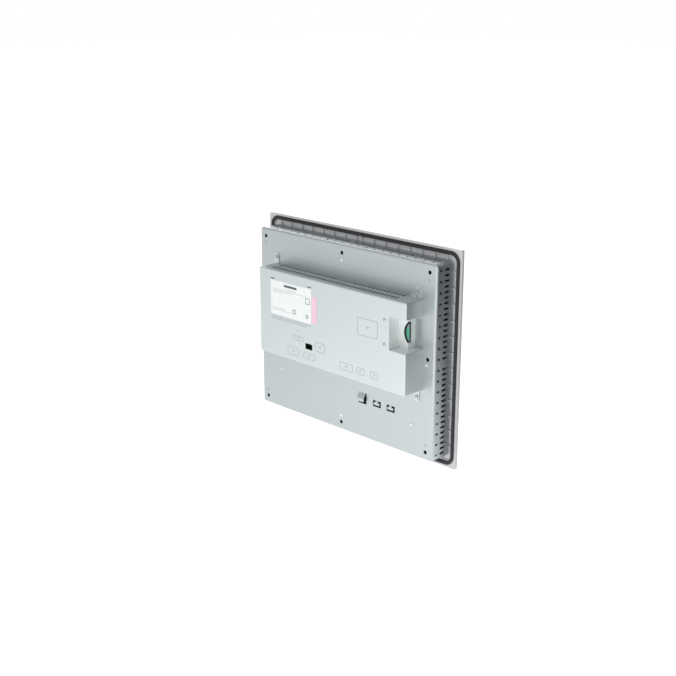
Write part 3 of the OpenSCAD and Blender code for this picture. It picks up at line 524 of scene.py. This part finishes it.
class Shape:
    """A mesh in millimetres in the part frame, which becomes one finished piece."""

    def __init__(self) -> None:
        """Starts an empty mesh."""
        self.mesh = bmesh.new()

    def block(self, low: Sequence[float], high: Sequence[float], round_mm: float = 0.0,
              segments: int = 2) -> list[bmesh.types.BMVert]:
        """Adds a box with rounded edges.

        Args:
            low: its lowest corner.
            high: its highest corner.
            round_mm: radius of its edges, or 0 for sharp ones.
            segments: steps over each rounded edge.

        Returns:
            The new vertices.
        """
        before = set(self.mesh.verts)
        low, high = Vector(low), Vector(high)
        verts = bmesh.ops.create_cube(self.mesh, size=1.0)["verts"]
        bmesh.ops.scale(self.mesh, vec=high - low, verts=verts)
        bmesh.ops.translate(self.mesh, vec=(low + high) / 2, verts=verts)
        if round_mm:
            edges = list({e for v in verts for e in v.link_edges})
            bmesh.ops.bevel(self.mesh, geom=edges, offset=round_mm, segments=segments,
                            affect="EDGES", profile=0.5, material=-1)
        return [v for v in self.mesh.verts if v not in before]

    def plate(self, low: Sequence[float], high: Sequence[float], y: float,
              radius: float = 0.0, steps: int = 6) -> bmesh.types.BMFace:
        """Adds a flat rectangle with rounded corners that faces +Y.

        Args:
            low: its lowest x and z.
            high: its highest x and z.
            y: the depth at which it lies.
            radius: radius of its corners.
            steps: segments in each corner.

        Returns:
            The new face.
        """
        before = set(self.mesh.faces)
        verts = bmesh.ops.create_grid(self.mesh, x_segments=1, y_segments=1, size=0.5)["verts"]
        size = (high[0] - low[0], high[1] - low[1], 1)
        bmesh.ops.scale(self.mesh, vec=size, verts=verts)
        bmesh.ops.rotate(self.mesh, matrix=Matrix.Rotation(math.radians(-90), 3, "X"), verts=verts)
        middle = ((low[0] + high[0]) / 2, y, (low[1] + high[1]) / 2)
        bmesh.ops.translate(self.mesh, vec=middle, verts=verts)
        if radius:
            bmesh.ops.bevel(self.mesh, geom=verts, offset=radius, segments=steps,
                            affect="VERTICES", profile=0.5, material=-1)
        return next(f for f in self.mesh.faces if f not in before and len(f.verts) >= 4)

    def sheet(self, low: Sequence[float], high: Sequence[float], y: float, thick: float,
              radius: float = 0.0) -> None:
        """Adds a closed thin plate.

        Args:
            low: its lowest x and z.
            high: its highest x and z.
            y: where it starts.
            thick: how far it reaches towards +Y.
            radius: radius of its corners.
        """
        face = self.plate(low, high, y, radius)
        bmesh.ops.solidify(self.mesh, geom=[face], thickness=-thick)

    def outline(self, low: Sequence[float], high: Sequence[float], y: float, thick: float,
                line: float, radius: float = 0.0) -> None:
        """Adds a closed thin frame.

        Args:
            low: lowest x and z of its outer edge.
            high: highest x and z of its outer edge.
            y: where it starts.
            thick: how far it reaches towards +Y.
            line: width of its line, which lies inside the outer edge.
            radius: radius of its outer corners.
        """
        face = self.plate(low, high, y, radius)
        ring = bmesh.ops.inset_region(self.mesh, faces=[face], thickness=line, use_boundary=True,
                                      use_even_offset=True)["faces"]
        bmesh.ops.delete(self.mesh, geom=[face], context="FACES_ONLY")
        bmesh.ops.solidify(self.mesh, geom=ring, thickness=-thick)

    def rod(self, foot: Sequence[float], axis: str, length: float, radius: float,
            tip_radius: float | None = None, segments: int = 16) -> list[bmesh.types.BMVert]:
        """Adds a round rod or cone.

        Args:
            foot: middle of its starting end.
            axis: X, Y or Z, the way it runs.
            length: how far it runs.
            radius: radius at the foot.
            tip_radius: radius at the other end, or the same.
            segments: sides of the rod.

        Returns:
            The new vertices.
        """
        verts = bmesh.ops.create_cone(
            self.mesh, cap_ends=True, segments=segments, radius1=radius,
            radius2=radius if tip_radius is None else tip_radius, depth=length)["verts"]
        bmesh.ops.translate(self.mesh, vec=(0, 0, length / 2), verts=verts)
        turn = {"X": Matrix.Rotation(math.radians(90), 3, "Y"),
                "Y": Matrix.Rotation(math.radians(-90), 3, "X"), "Z": Matrix.Identity(3)}[axis]
        bmesh.ops.rotate(self.mesh, matrix=turn, verts=verts)
        bmesh.ops.translate(self.mesh, vec=foot, verts=verts)
        return verts

    def turned(self, section: Sequence[tuple[float, float]], steps: int = 32) -> None:
        """Turns a half section round the Y axis.

        Args:
            section: radius and depth of each point, from axis to axis.
            steps: segments of the full turn.
        """
        verts = [self.mesh.verts.new((radius, depth, 0)) for radius, depth in section]
        edges = [self.mesh.edges.new(pair) for pair in zip(verts, verts[1:])]
        bmesh.ops.spin(self.mesh, geom=verts + edges, cent=(0, 0, 0), axis=(0, 1, 0),
                       angle=math.tau, steps=steps, use_merge=True)
        bmesh.ops.remove_doubles(self.mesh, verts=self.mesh.verts, dist=0.001)

    def copies(self, source: bpy.types.Mesh, places: Iterable[Sequence[float]]) -> None:
        """Adds copies of a mesh.

        Args:
            source: the mesh, in millimetres.
            places: where each copy goes.
        """
        for place in places:
            before = set(self.mesh.verts)
            self.mesh.from_mesh(source)
            added = [v for v in self.mesh.verts if v not in before]
            bmesh.ops.translate(self.mesh, vec=place, verts=added)

    def to_mesh(self, name: str) -> bpy.types.Mesh:
        """Merges doubles and turns the faces outwards.

        Args:
            name: the mesh's name.

        Returns:
            The mesh in millimetres.
        """
        bmesh.ops.remove_doubles(self.mesh, verts=self.mesh.verts, dist=0.0005)
        bmesh.ops.recalc_face_normals(self.mesh, faces=self.mesh.faces)
        mesh = bpy.data.meshes.new(name)
        self.mesh.to_mesh(mesh)
        self.mesh.free()
        return mesh


def recess(body: bpy.types.Mesh, cutter: bpy.types.Mesh) -> bpy.types.Mesh:
    """Cuts one mesh out of another.

    Args:
        body: what is cut.
        cutter: what is taken away.

    Returns:
        The cut mesh.
    """
    objects = [bpy.data.objects.new(mesh.name, mesh) for mesh in (body, cutter)]
    for item in objects:
        bpy.context.scene.collection.objects.link(item)
    cut = objects[0].modifiers.new("recess", "BOOLEAN")
    cut.object = objects[1]
    cut.solver = "EXACT"
    cut.use_self = True
    graph = bpy.context.evaluated_depsgraph_get()
    made = bpy.data.meshes.new_from_object(objects[0].evaluated_get(graph))
    for item in objects:
        bpy.data.objects.remove(item)
    return made


class Drive(Enum):
    """Recess forms of the fasteners' heads."""

    CROSS = "cross"
    SIX_LOBE = "six lobe"
    NONE = "none"


@dataclass(frozen=True)
class Fastener:
    """A screw or rivet that points along -Y, with its head seated at y = 0."""

    head_r: float
    head_h: float
    shank_r: float
    length: float
    drive: Drive = Drive.CROSS
    sunk: bool = False

    def section(self) -> list[tuple[float, float]]:
        """Returns the half section from the top of the head to the tip of the shank."""
        if self.sunk:
            head = [(0, 0), (self.head_r - 0.15, 0), (self.head_r, -0.12), (self.head_r, -0.3),
                    (self.shank_r, -self.head_h)]
        else:
            arc = [math.radians(a) for a in (90, 68, 46, 24)]
            head = [(self.head_r * (0.45 + 0.55 * math.cos(a)) if a < 1.5 else 0,
                     self.head_h * (0.35 + 0.65 * math.sin(a))) for a in arc]
            head += [(self.head_r, self.head_h * 0.3), (self.head_r, 0), (self.shank_r, 0)]
        return head + [(self.shank_r, -self.length + 0.4), (0, -self.length)]

    def cutter(self) -> bpy.types.Mesh:
        """Returns the shape that leaves the drive recess."""
        top = 0.0 if self.sunk else self.head_h
        tool = Shape()
        if self.drive is Drive.CROSS:
            arm, half = self.head_r * 0.6, self.head_r * 0.11
            for turn in (0, 90):
                verts = tool.block((-arm, top - self.head_h * 0.7, -half), (arm, top + 1, half))
                low = [v for v in verts if v.co.y < top]
                bmesh.ops.scale(tool.mesh, vec=(0.35, 1, 1), verts=low)
                bmesh.ops.rotate(tool.mesh, verts=verts,
                                 matrix=Matrix.Rotation(math.radians(turn), 3, "Y"))
        else:
            for turn in range(6):
                angle = turn * math.tau / 6
                reach = self.head_r * 0.3
                foot = (reach * math.cos(angle), top - self.head_h * 0.7, reach * math.sin(angle))
                tool.rod(foot, "Y", self.head_h, self.head_r * 0.2, segments=10)
        return tool.to_mesh("drive_cutter")

    def mesh(self) -> bpy.types.Mesh:
        """Returns the finished fastener in millimetres."""
        shape = Shape()
        shape.turned(self.section())
        body = shape.to_mesh("fastener")
        return body if self.drive is Drive.NONE else recess(body, self.cutter())


# ---------------------------------------------------------- sub-assemblies


class SubAssembly:
    """Pieces that are put together on one bench, all on one CAD body."""

    body = "chassis"

    def build(self) -> None:
        """Builds the group's own pieces and dresses its CAD nodes."""
        raise NotImplementedError

    def dress(self, finish: Finish, *nodes: str) -> None:
        """Gives CAD nodes their finish.

        Args:
            finish: the surface that the nodes share.
            nodes: names of the CAD nodes.
        """
        for name in nodes:
            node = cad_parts[name]
            if not node.material_slots:
                node.data.materials.append(None)
            for item in node.material_slots:
                item.material = finish.material()
            LOG.info("dressed %s in %s", name, finish.name)

    def piece(self, shape: Shape, name: str, finish: Finish, slot: str,
              replaced: Iterable[str] = (), crease: float = 32.0) -> bpy.types.Object:
        """Turns a shape to a finished piece in metres that rides on the group's body.

        Args:
            shape: what was drawn in millimetres.
            name: the piece's name.
            finish: its surface.
            slot: the record's material slot; not used.
            replaced: CAD nodes that it stands for.
            crease: the angle in degrees past which an edge stays sharp.

        Returns:
            The piece's object.
        """
        mesh = shape.to_mesh(name)
        mesh.transform(Matrix.Scale(MM, 4))
        mesh.shade_smooth()
        mesh.set_sharp_from_angle(angle=math.radians(crease))
        mesh.materials.clear()
        mesh.materials.append(finish.material())
        piece = bpy.data.objects.new(name, mesh)
        bpy.context.scene.collection.objects.link(piece)
        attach(piece, self.body)
        if replaced:
            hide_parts(*replaced)
        LOG.info("built %s, %d faces", name, len(mesh.polygons))
        return piece


@dataclass
class FrontAssembly(SubAssembly):
    """Bezel, gasket, foil, touch glass and display."""

    gasket_w: float = 5.6
    gasket_r: float = 13.7
    seat: float = 0.5
    lip_h: float = 0.9
    ridge_h: float = 1.4
    lip_w: float = 0.9
    groove_w: float = 0.75

    def build(self) -> None:
        """Builds the gasket and dresses the front."""
        self.dress(BEZEL_PAINT, "front_frame")
        # the inner frame's dark grey is painted shade
        self.dress(CASTING_DARK_PAINTED_SHADE, "inner_frame")
        self.dress(FRONT_FOIL, "front_foil")
        self.dress(TOUCH_GLASS, "touch_glass")
        self.dress(DISPLAY_CELL, "lcd_cell")
        self.dress(LIGHT_GUIDE, "light_guide")
        self.dress(TRAY_SHEET, "lcd_frame")
        self.piece(self.gasket(), "sealing_gasket", GASKET_RUBBER, "gasket", ["panel_gasket"], 50)

    def gasket(self) -> Shape:
        """Draws the gasket as rings that step inwards over its lips and its centre ridge.

        Returns:
            The closed ring.
        """
        low, high = span("panel_gasket")
        shape = Shape()
        top = shape.plate((low.x, low.z), (high.x, high.z), -self.seat, self.gasket_r, 14)
        ridge = self.gasket_w - 2 * (self.lip_w + self.groove_w)
        groove = self.groove_w - 0.3
        steps = [(0.001, self.seat + self.lip_h - 0.25), (0.25, 0.25), (self.lip_w - 0.5, 0.0),
                 (0.25, -0.25), (groove, -0.2), (0.3, 0.7), (0.3, 0.25), (ridge - 1.2, 0.0),
                 (0.3, -0.25), (0.3, -0.7), (groove, 0.2), (0.25, 0.25),
                 (self.lip_w - 0.5, 0.0), (0.25, -0.25)]
        for width, rise in steps:
            bmesh.ops.inset_region(shape.mesh, faces=[top], thickness=width, use_boundary=True,
                                   use_even_offset=True)
            bmesh.ops.translate(shape.mesh, vec=(0, rise, 0), verts=top.verts)
        bmesh.ops.translate(shape.mesh, vec=(0, -top.verts[0].co.y - self.seat, 0), verts=top.verts)
        bmesh.ops.delete(shape.mesh, geom=[top], context="FACES_ONLY")
        rims = [e for e in shape.mesh.edges if e.is_boundary]
        bmesh.ops.bridge_loops(shape.mesh, edges=rims)
        return shape


@dataclass
class RearHousing(SubAssembly):
    """Galvanised tray with its screws, rivets and the backlight inverter."""

    middle_x: float = 1.0
    rivet_x: float = 141.5
    rivet_z: float = -1.0
    head_r: float = 2.2
    shank_l: float = 5.2
    rivet_head_h: float = 0.6
    dimple_places: tuple[tuple[float, float], ...] = ((115.2, -67.0), (-119.3, -83.3))
    dimple_r: float = 1.7
    dimple_h: float = 0.55
    crown_steps: int = 24

    def build(self) -> None:
        """Builds the fasteners and the near-white caps that paint highlights on the two dimples,
        and dresses the sheet.
        """
        self.dress(HOUSING_ZINC, "rear_housing")
        self.dress(BOARD_MASK, "inverter_board")
        self.dress(FLAT_CABLE, "lamp_cable")
        low, high = span("housing_screws")
        r = self.head_r
        sunk = Fastener(r, 1.2, SCREW_R, self.shank_l, Drive.SIX_LOBE, True)
        shape = Shape()
        shape.copies(sunk.mesh(), [(x, high.y, z) for x in (low.x + r, high.x - r)
                                   for z in (low.z + r, high.z - r)])
        self.piece(shape, "countersunk_screws", ZINC_SCREW, "fastener", ["housing_screws"])
        low, high = span("housing_rivets")
        y = high.y - self.rivet_head_h
        rivet = Fastener(r, self.rivet_head_h, 1.0, SCREW_L, Drive.NONE)
        places = [(self.middle_x, y, z) for z in (low.z + r, high.z - r)]
        places += [(x, y, self.rivet_z) for x in (-self.rivet_x, self.rivet_x)]
        shape = Shape()
        shape.copies(rivet.mesh(), places)
        self.piece(shape, "blind_rivets", RIVET_AND_PAINTED_HIGHLIGHT, "fastener", ["housing_rivets"])
        # near-white caps just above the two embossed dimples: painted highlights
        crown = Shape()
        crown.turned([(0, self.dimple_h + 0.15), (self.dimple_r * 0.55, self.dimple_h + 0.08),
                      (self.dimple_r, self.dimple_h - 0.1), (0, self.dimple_h - 0.2)],
                     self.crown_steps)
        crowns = Shape()
        crowns.copies(crown.to_mesh("crown"), [(x, y, z) for x, z in self.dimple_places])
        self.piece(crowns, "dimple_painted_highlights", RIVET_AND_PAINTED_HIGHLIGHT, "housing_sheet")


@dataclass
class ElectronicsCover(SubAssembly):
    """Folded cover, its screws and the boards under it."""

    head_r: float = 2.8
    head_h: float = 1.6
    low_tab_shift: float = 3.8

    def build(self) -> None:
        """Builds the cover screws and dresses the cover and the boards."""
        self.dress(COVER_ZINC, "electronics_cover")
        self.dress(BOARD_MASK, "main_board")
        self.dress(ZINC_SCREW, "board_spacers", "board_screws")
        self.dress(BLACK_PLASTIC, "processor", "battery_holder")
        self.dress(SINK_ALUMINIUM, "heat_sink")
        self.dress(NICKEL_CAN, "battery_cell")
        self.dress(FLAT_CABLE, "display_cable")
        low, high = span("cover_screws")
        r = self.head_r
        y = high.y - self.head_h
        places = [(low.x + r, y, high.z - r), (high.x - r, y, high.z - r),
                  (low.x + r, y, low.z + r), (high.x - r - self.low_tab_shift, y, low.z + r)]
        shape = Shape()
        shape.copies(Fastener(r, self.head_h, SCREW_R, SCREW_L).mesh(), places)
        self.piece(shape, "cover_pan_screws", ZINC_SCREW, "fastener", ["cover_screws"])


@dataclass
class CardSlot(SubAssembly):
    """Folded recess with its guide and header."""

    head_h: float = 0.8

    def build(self) -> None:
        """Builds the bracket screws and dresses the recess."""
        # the bracket's lighter, less metallic copy of the cover zinc paints light on the recess
        # walls
        self.dress(BRACKET_ZINC, "card_bracket")
        self.dress(BLACK_PLASTIC, "card_guide", "card_header")
        low, high = span("bracket_screws")
        r = (high.x - low.x) / 2
        shape = Shape()
        places = [(low.x + r, high.y - self.head_h, z) for z in (low.z + r, high.z - r)]
        shape.copies(Fastener(r, self.head_h, SCREW_R, SCREW_L).mesh(), places)
        self.piece(shape, "bracket_pan_screws", ZINC_SCREW, "fastener", ["bracket_screws"])


@dataclass
class MemoryCard(SubAssembly):
    """Slim card that slides out of the recess towards -X."""

    body = "card"
    band_h: float = 4.6
    # thickness of the greyer bands at both ends of the card label
    layer_t: float = 0.03
    pads: int = 8
    pad_pitch: float = 2.1

    def build(self) -> None:
        """Lays greyer bands over both ends of the label and builds the contact pads."""
        self.dress(CARD_SHELL, "memory_card")
        self.dress(CARD_FILM, "card_label")
        low, high = span("card_label")
        bands = Shape()
        for z in (low.z, high.z - self.band_h):
            bands.sheet((low.x, z), (high.x, z + self.band_h), high.y, self.layer_t, 0.2)
        self.piece(bands, "card_label_bands", CARD_BANDS, "card_label")
        low, high = span("memory_card")
        pads = Shape()
        for i in range(self.pads):
            z = low.z + 3.2 + i * self.pad_pitch
            pads.block((high.x - 4.6, low.y + 0.62, z), (high.x - 0.5, low.y + 0.75, z + 1.5),
                       0.05, 1)
        self.piece(pads, "card_contact_pads", GOLD_CONTACT, "contact")


@dataclass
class SettingSwitch(SubAssembly):
    """Four way slide switch in its window."""

    def build(self) -> None:
        """Dresses the switch body."""
        self.dress(BLACK_PLASTIC, "dip_body")


@dataclass
class SwitchLever(SubAssembly):
    """One lever of the slide switch, with its own body."""

    number: int = 1

    def build(self) -> None:
        """Builds the lever with rounded edges."""
        self.body = f"lever_{self.number}"
        low, high = span(f"dip_lever_{self.number}")
        shape = Shape()
        shape.block(low, high, 0.2)
        self.piece(shape, f"switch_lever_{self.number}", LEVER_PLASTIC, "lever",
                   [f"dip_lever_{self.number}"])


@dataclass
class Labels(SubAssembly):
    """Rating label, seal strip and the printed legends of the cover, all without lettering."""

    layer_t: float = 0.05
    line: float = 0.55
    frames: tuple[tuple[float, float, float, float, float], ...] = (
        (48.8, 69.7, -28.2, -16.8, 3.0), (19.0, 40.2, -27.3, -19.7, 2.0),
        (40.5, 59.1, -6.1, -0.3, 1.2), (0.9, 18.7, -13.3, -0.9, 2.5),
        (-48.2, -25.6, -26.3, -16.6, 1.5), (-68.0, -55.0, -25.7, -16.7, 1.5),
        (-91.0, -78.3, -25.7, -16.3, 1.5), (-89.3, -55.5, 25.3, 47.5, 1.5))

    def build(self) -> None:
        """Builds the printed shapes and dresses the labels."""
        self.dress(WHITE_LABEL, "rating_label")
        self.dress(PINK_LABEL, "seal_label")
        self.piece(self.legends(), "cover_legends", PALE_INK, "cover_sheet")
        self.piece(self.symbols(), "cover_symbols", GREY_INK, "cover_sheet")
        self.piece(self.label_blocks(), "label_blocks", DARK_INK, "label_white")
        self.piece(self.label_lines(), "label_lines", GREY_INK, "label_white")

    def legends(self) -> Shape:
        """Draws the outline beside each socket."""
        y = span("rating_label")[0].y
        shape = Shape()
        for x0, x1, z0, z1, radius in self.frames:
            shape.outline((x0, z0), (x1, z1), y, self.layer_t, self.line, radius)
        return shape

    def symbols(self) -> Shape:
        """Draws a plain bar or two inside each outline, and the two rows under the label."""
        y = span("rating_label")[0].y
        shape = Shape()
        for x0, x1, z0, z1, _ in self.frames:
            x, z = (x0 + x1) / 2, (z0 + z1) / 2
            shape.sheet((x - 2.2, z + 0.4), (x + 2.2, z + 1.4), y, self.layer_t)
            shape.sheet((x - 1.2, z - 1.4), (x + 1.2, z - 0.6), y, self.layer_t)
        low, high = span("rating_label")
        for row in (2.4, 5.0):
            shape.sheet((low.x + 3 * row - 6, low.z - row - 0.9), (high.x - 1, low.z - row), y,
                        self.layer_t)
        return shape

    def label_blocks(self) -> Shape:
        """Draws the dark blocks of the rating label."""
        low, high = span("rating_label")
        shape = Shape()
        shape.sheet((low.x + 27, high.z - 6.2), (low.x + 51, high.z - 3.2), high.y, self.layer_t, 0.4)
        for x, z, r in ((31.5, 10, 3.0), (8.0, 8.5, 2.4)):
            shape.outline((low.x + x - r, low.z + z - r), (low.x + x + r, low.z + z + r), high.y,
                          self.layer_t, 0.9, r * 0.98)
        shape.outline((low.x + 3, high.z - 21), (low.x + 11, high.z - 13), high.y,
                      self.layer_t, 0.7, 1)
        return shape

    def label_lines(self) -> Shape:
        """Draws the fine rules of the rating label."""
        low, high = span("rating_label")
        shape = Shape()
        rows = ((9.0, 28, 50), (11.2, 10, 72), (13.4, 34, 72), (15.6, 56, 72), (36.0, 50, 72),
                (38.4, 30, 74))
        for drop, x0, x1 in rows:
            shape.sheet((low.x + x0, high.z - drop - 0.5), (low.x + x1, high.z - drop), high.y,
                        self.layer_t)
        return shape


@dataclass
class Sockets(SubAssembly):
    """Power, serial, network and serial bus sockets on the underside of the cover."""

    pin_pitch: float = 2.74
    pin_row: float = 1.4
    pin_r: float = 0.5
    network_pitch: float = 1.02
    network_pins: int = 8
    bus_pitch: float = 2.3
    bus_pins: int = 4

    def build(self) -> None:
        """Builds the contacts and dresses shells and inserts."""
        self.dress(TERMINAL_PLASTIC, "power_socket")
        self.dress(GOLD_CONTACT, "power_clamps")
        self.dress(TINNED_SHELL, "dsub_shell_a", "dsub_shell_b", "lan_shield", "usb_shell_a",
                   "usb_shell_b")
        self.dress(BLACK_PLASTIC, "dsub_insert_a", "dsub_insert_b", "lan_insert", "usb_tongue_a",
                   "usb_tongue_b")
        self.dress(ZINC_SCREW, "jack_posts")
        self.piece(self.network_contacts(), "lan_contacts", GOLD_CONTACT, "contact")
        self.piece(self.bus_contacts(), "usb_contacts", GOLD_CONTACT, "contact")
        self.piece(self.serial_contacts(), "dsub_contacts", GOLD_CONTACT, "contact")

    def network_contacts(self) -> Shape:
        """Draws the eight sprung contacts of the network socket."""
        low, high = span("lan_insert")
        x, y = (low.x + high.x) / 2, (low.y + high.y) / 2
        shape = Shape()
        for i in range(self.network_pins):
            at = x + (i - (self.network_pins - 1) / 2) * self.network_pitch
            shape.block((at - 0.2, y - 3.3, low.z + 3), (at + 0.2, y - 2.6, low.z + 12.5), 0.1, 1)
        return shape

    def bus_contacts(self) -> Shape:
        """Draws the four contacts on each tongue."""
        shape = Shape()
        for name in ("usb_tongue_a", "usb_tongue_b"):
            low, high = span(name)
            x = (low.x + high.x) / 2
            for i in range(self.bus_pins):
                at = x + (i - (self.bus_pins - 1) / 2) * self.bus_pitch
                shape.block((at - 0.5, low.y - 0.12, low.z + 0.8),
                            (at + 0.5, low.y + 0.1, low.z + 8))
        return shape

    def serial_contacts(self) -> Shape:
        """Draws the contact inside each of the nine holes."""
        shape = Shape()
        for name in ("dsub_insert_a", "dsub_insert_b"):
            low, high = span(name)
            x, y = (low.x + high.x) / 2, (low.y + high.y) / 2
            for row, count in ((self.pin_row, 5), (-self.pin_row, 4)):
                for i in range(count):
                    at = x + (i - (count - 1) / 2) * self.pin_pitch
                    shape.rod((at, y + row, low.z + 0.4), "Z", 5, self.pin_r, segments=12)
        return shape


# ------------------------------------------------------------------ studio


@dataclass
class Studio:
    """Plain pale floor, soft light and the camera over the rear corner of the card slot side."""

    camera_place: Point = (-971.61, 1006.69, 427.27)
    azimuth: float = 225.04
    elevation: float = 17.16
    roll: float = -0.12
    lens: float = 60.39
    sensor: float = 36.0
    floor_size: float = 20000.0
    sky: str = "#FFFFFF"
    lights: list[tuple[str, Point, float, float]] = field(default_factory=lambda: [
        ("key", (1100, 1500, 900), 1400, 2.5),
        ("rear_fill", (-600, 1700, 800), 700, 3.0),
        ("front_fill", (1300, -1400, 650), 1500, 20.0)])
    lamp_place: Point = (-330.0, 500.0, 0.0)
    lamp_reach: tuple[float, float] = (60.0, 1000.0)
    lamp_level: tuple[float, float] = (1.65, 0.87)
    flag_place: Point = (-400.0, -330.0, 100.0)
    flag_size: float = 760.0

    def build(self) -> None:
        """Sets up world, lights, floor and camera."""
        self.world()
        for name, place, size, power in self.lights:
            self.area_light(name, Vector(place) * MM, size * MM, power)
        self.floor()
        self.flag()
        self.camera()

    def world(self) -> None:
        """Makes an even pale sky: white to the camera and dimmer as light, brightest from below."""
        world = bpy.data.worlds.new("studio")
        bpy.context.scene.world = world
        world.use_nodes = True
        tree = world.node_tree
        tree.nodes.clear()
        way = add_node(tree, "ShaderNodeTexCoord").outputs["Generated"]
        up = add_node(tree, "ShaderNodeSeparateXYZ", None, {"Vector": way}).outputs["Z"]
        level = add_node(tree, "ShaderNodeMapRange", {"interpolation_type": "SMOOTHSTEP"}, {
            "Value": up, "From Min": -0.5, "From Max": 0.35, "To Min": 1.05, "To Max": 0.6})
        lighting = add_node(tree, "ShaderNodeBackground", None, {
            "Color": linear(self.sky), "Strength": level.outputs["Result"]})
        seen = add_node(tree, "ShaderNodeBackground", None, {"Color": linear(self.sky)})
        ray = add_node(tree, "ShaderNodeLightPath").outputs["Is Camera Ray"]
        mix = add_node(tree, "ShaderNodeMixShader", None, {
            0: ray, 1: lighting.outputs[0], 2: seen.outputs[0]})
        add_node(tree, "ShaderNodeOutputWorld", None, {"Surface": mix.outputs[0]})

    def area_light(self, name: str, place: Vector, size: float, power: float) -> None:
        """Hangs a square soft light that faces the object.

        Args:
            name: what it is called.
            place: its middle, in metres.
            size: its side, in metres.
            power: its power in watts.
        """
        data = bpy.data.lights.new(name, "AREA")
        data.size = size
        data.energy = power
        light = bpy.data.objects.new(name, data)
        light.location = place
        light.rotation_mode = "QUATERNION"
        light.rotation_quaternion = (-place).to_track_quat("-Z", "Y")
        light.visible_camera = False
        bpy.context.scene.collection.objects.link(light)

    def plane(self, name: str, size: float, place: Vector, facing: Vector) -> bpy.types.Object:
        """Stands a square of the stage at a place, facing a way.

        Args:
            name: what it is called.
            size: its side in metres.
            place: its middle.
            facing: the way its face looks.

        Returns:
            The staged square.
        """
        bm = bmesh.new()
        bmesh.ops.create_grid(bm, x_segments=1, y_segments=1, size=size / 2)
        turn = facing.to_track_quat("Z", "Y").to_matrix()
        bmesh.ops.rotate(bm, matrix=turn, verts=bm.verts)
        bmesh.ops.translate(bm, vec=place, verts=bm.verts)
        mesh = bpy.data.meshes.new(name)
        bm.to_mesh(mesh)
        bm.free()
        square = bpy.data.objects.new(name, mesh)
        bpy.context.scene.collection.objects.link(square)
        square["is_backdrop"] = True
        return square

    def floor(self) -> None:
        """Lays a white light table under the object's lowest point, brightest over its lamp."""
        floor = self.plane("floor", self.floor_size * MM, Vector((0, 0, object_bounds()[0].z)),
                           Vector((0, 0, 1)))
        acrylic, on = start_material("acrylic_light_table_opal", "#8C8C8C", 0.9)
        on.shader.inputs["Emission Color"].default_value = linear(self.sky)
        centre = Vector(self.lamp_place) * MM
        centre.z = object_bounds()[0].z
        away = add_node(on.tree, "ShaderNodeVectorMath", {"operation": "DISTANCE"},
                        {0: on.place, 1: centre})
        level = add_node(on.tree, "ShaderNodeMapRange", {"interpolation_type": "SMOOTHSTEP"}, {
            "Value": away.outputs["Value"], "From Min": self.lamp_reach[0] * MM,
            "From Max": self.lamp_reach[1] * MM, "To Min": self.lamp_level[0],
            "To Max": self.lamp_level[1]})
        on.tree.links.new(level.outputs["Result"], on.shader.inputs["Emission Strength"])
        floor.data.materials.append(acrylic)

    def flag(self) -> None:
        """Stands a black flag, out of the picture, that keeps light off the card slot side."""
        place = Vector(self.flag_place) * MM
        flag = self.plane("flag", self.flag_size * MM, place, Vector((1, 0, 0)))
        flag.data.materials.append(start_material("felt_black_dyed", "#101010", 1.0)[0])
        flag.visible_camera = False

    def camera(self) -> None:
        """Places the camera at its height, turn and slight roll."""
        a, e = math.radians(self.azimuth), math.radians(self.elevation)
        back = Vector((math.sin(a) * math.cos(e), -math.cos(a) * math.cos(e), math.sin(e)))
        right = Vector((0, 0, 1)).cross(back).normalized()
        upward = back.cross(right)
        turn = Matrix((right, upward, back)).transposed()
        data = bpy.data.cameras.new("camera")
        data.lens = self.lens
        data.sensor_width = self.sensor
        data.clip_end = 100.0
        camera = bpy.data.objects.new("camera", data)
        spin = Matrix.Rotation(math.radians(-self.roll), 3, "Z")
        place = Matrix.Translation(Vector(self.camera_place) * MM)
        camera.matrix_world = place @ (turn @ spin).to_4x4()
        bpy.context.scene.collection.objects.link(camera)
        bpy.context.scene.camera = camera


def main() -> None:
    """Builds every sub-assembly in order."""
    logging.basicConfig(level=logging.INFO, format="%(name)s: %(message)s")
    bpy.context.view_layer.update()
    bpy.context.scene.view_settings.view_transform = "Standard"
    groups = [FrontAssembly(), RearHousing(), ElectronicsCover(), CardSlot(), MemoryCard(),
              SettingSwitch(), *[SwitchLever(number) for number in (1, 2, 3, 4)], Labels(),
              Sockets()]
    for group in groups:
        group.build()
    Studio().build()


if __name__ == "__main__":
    main()
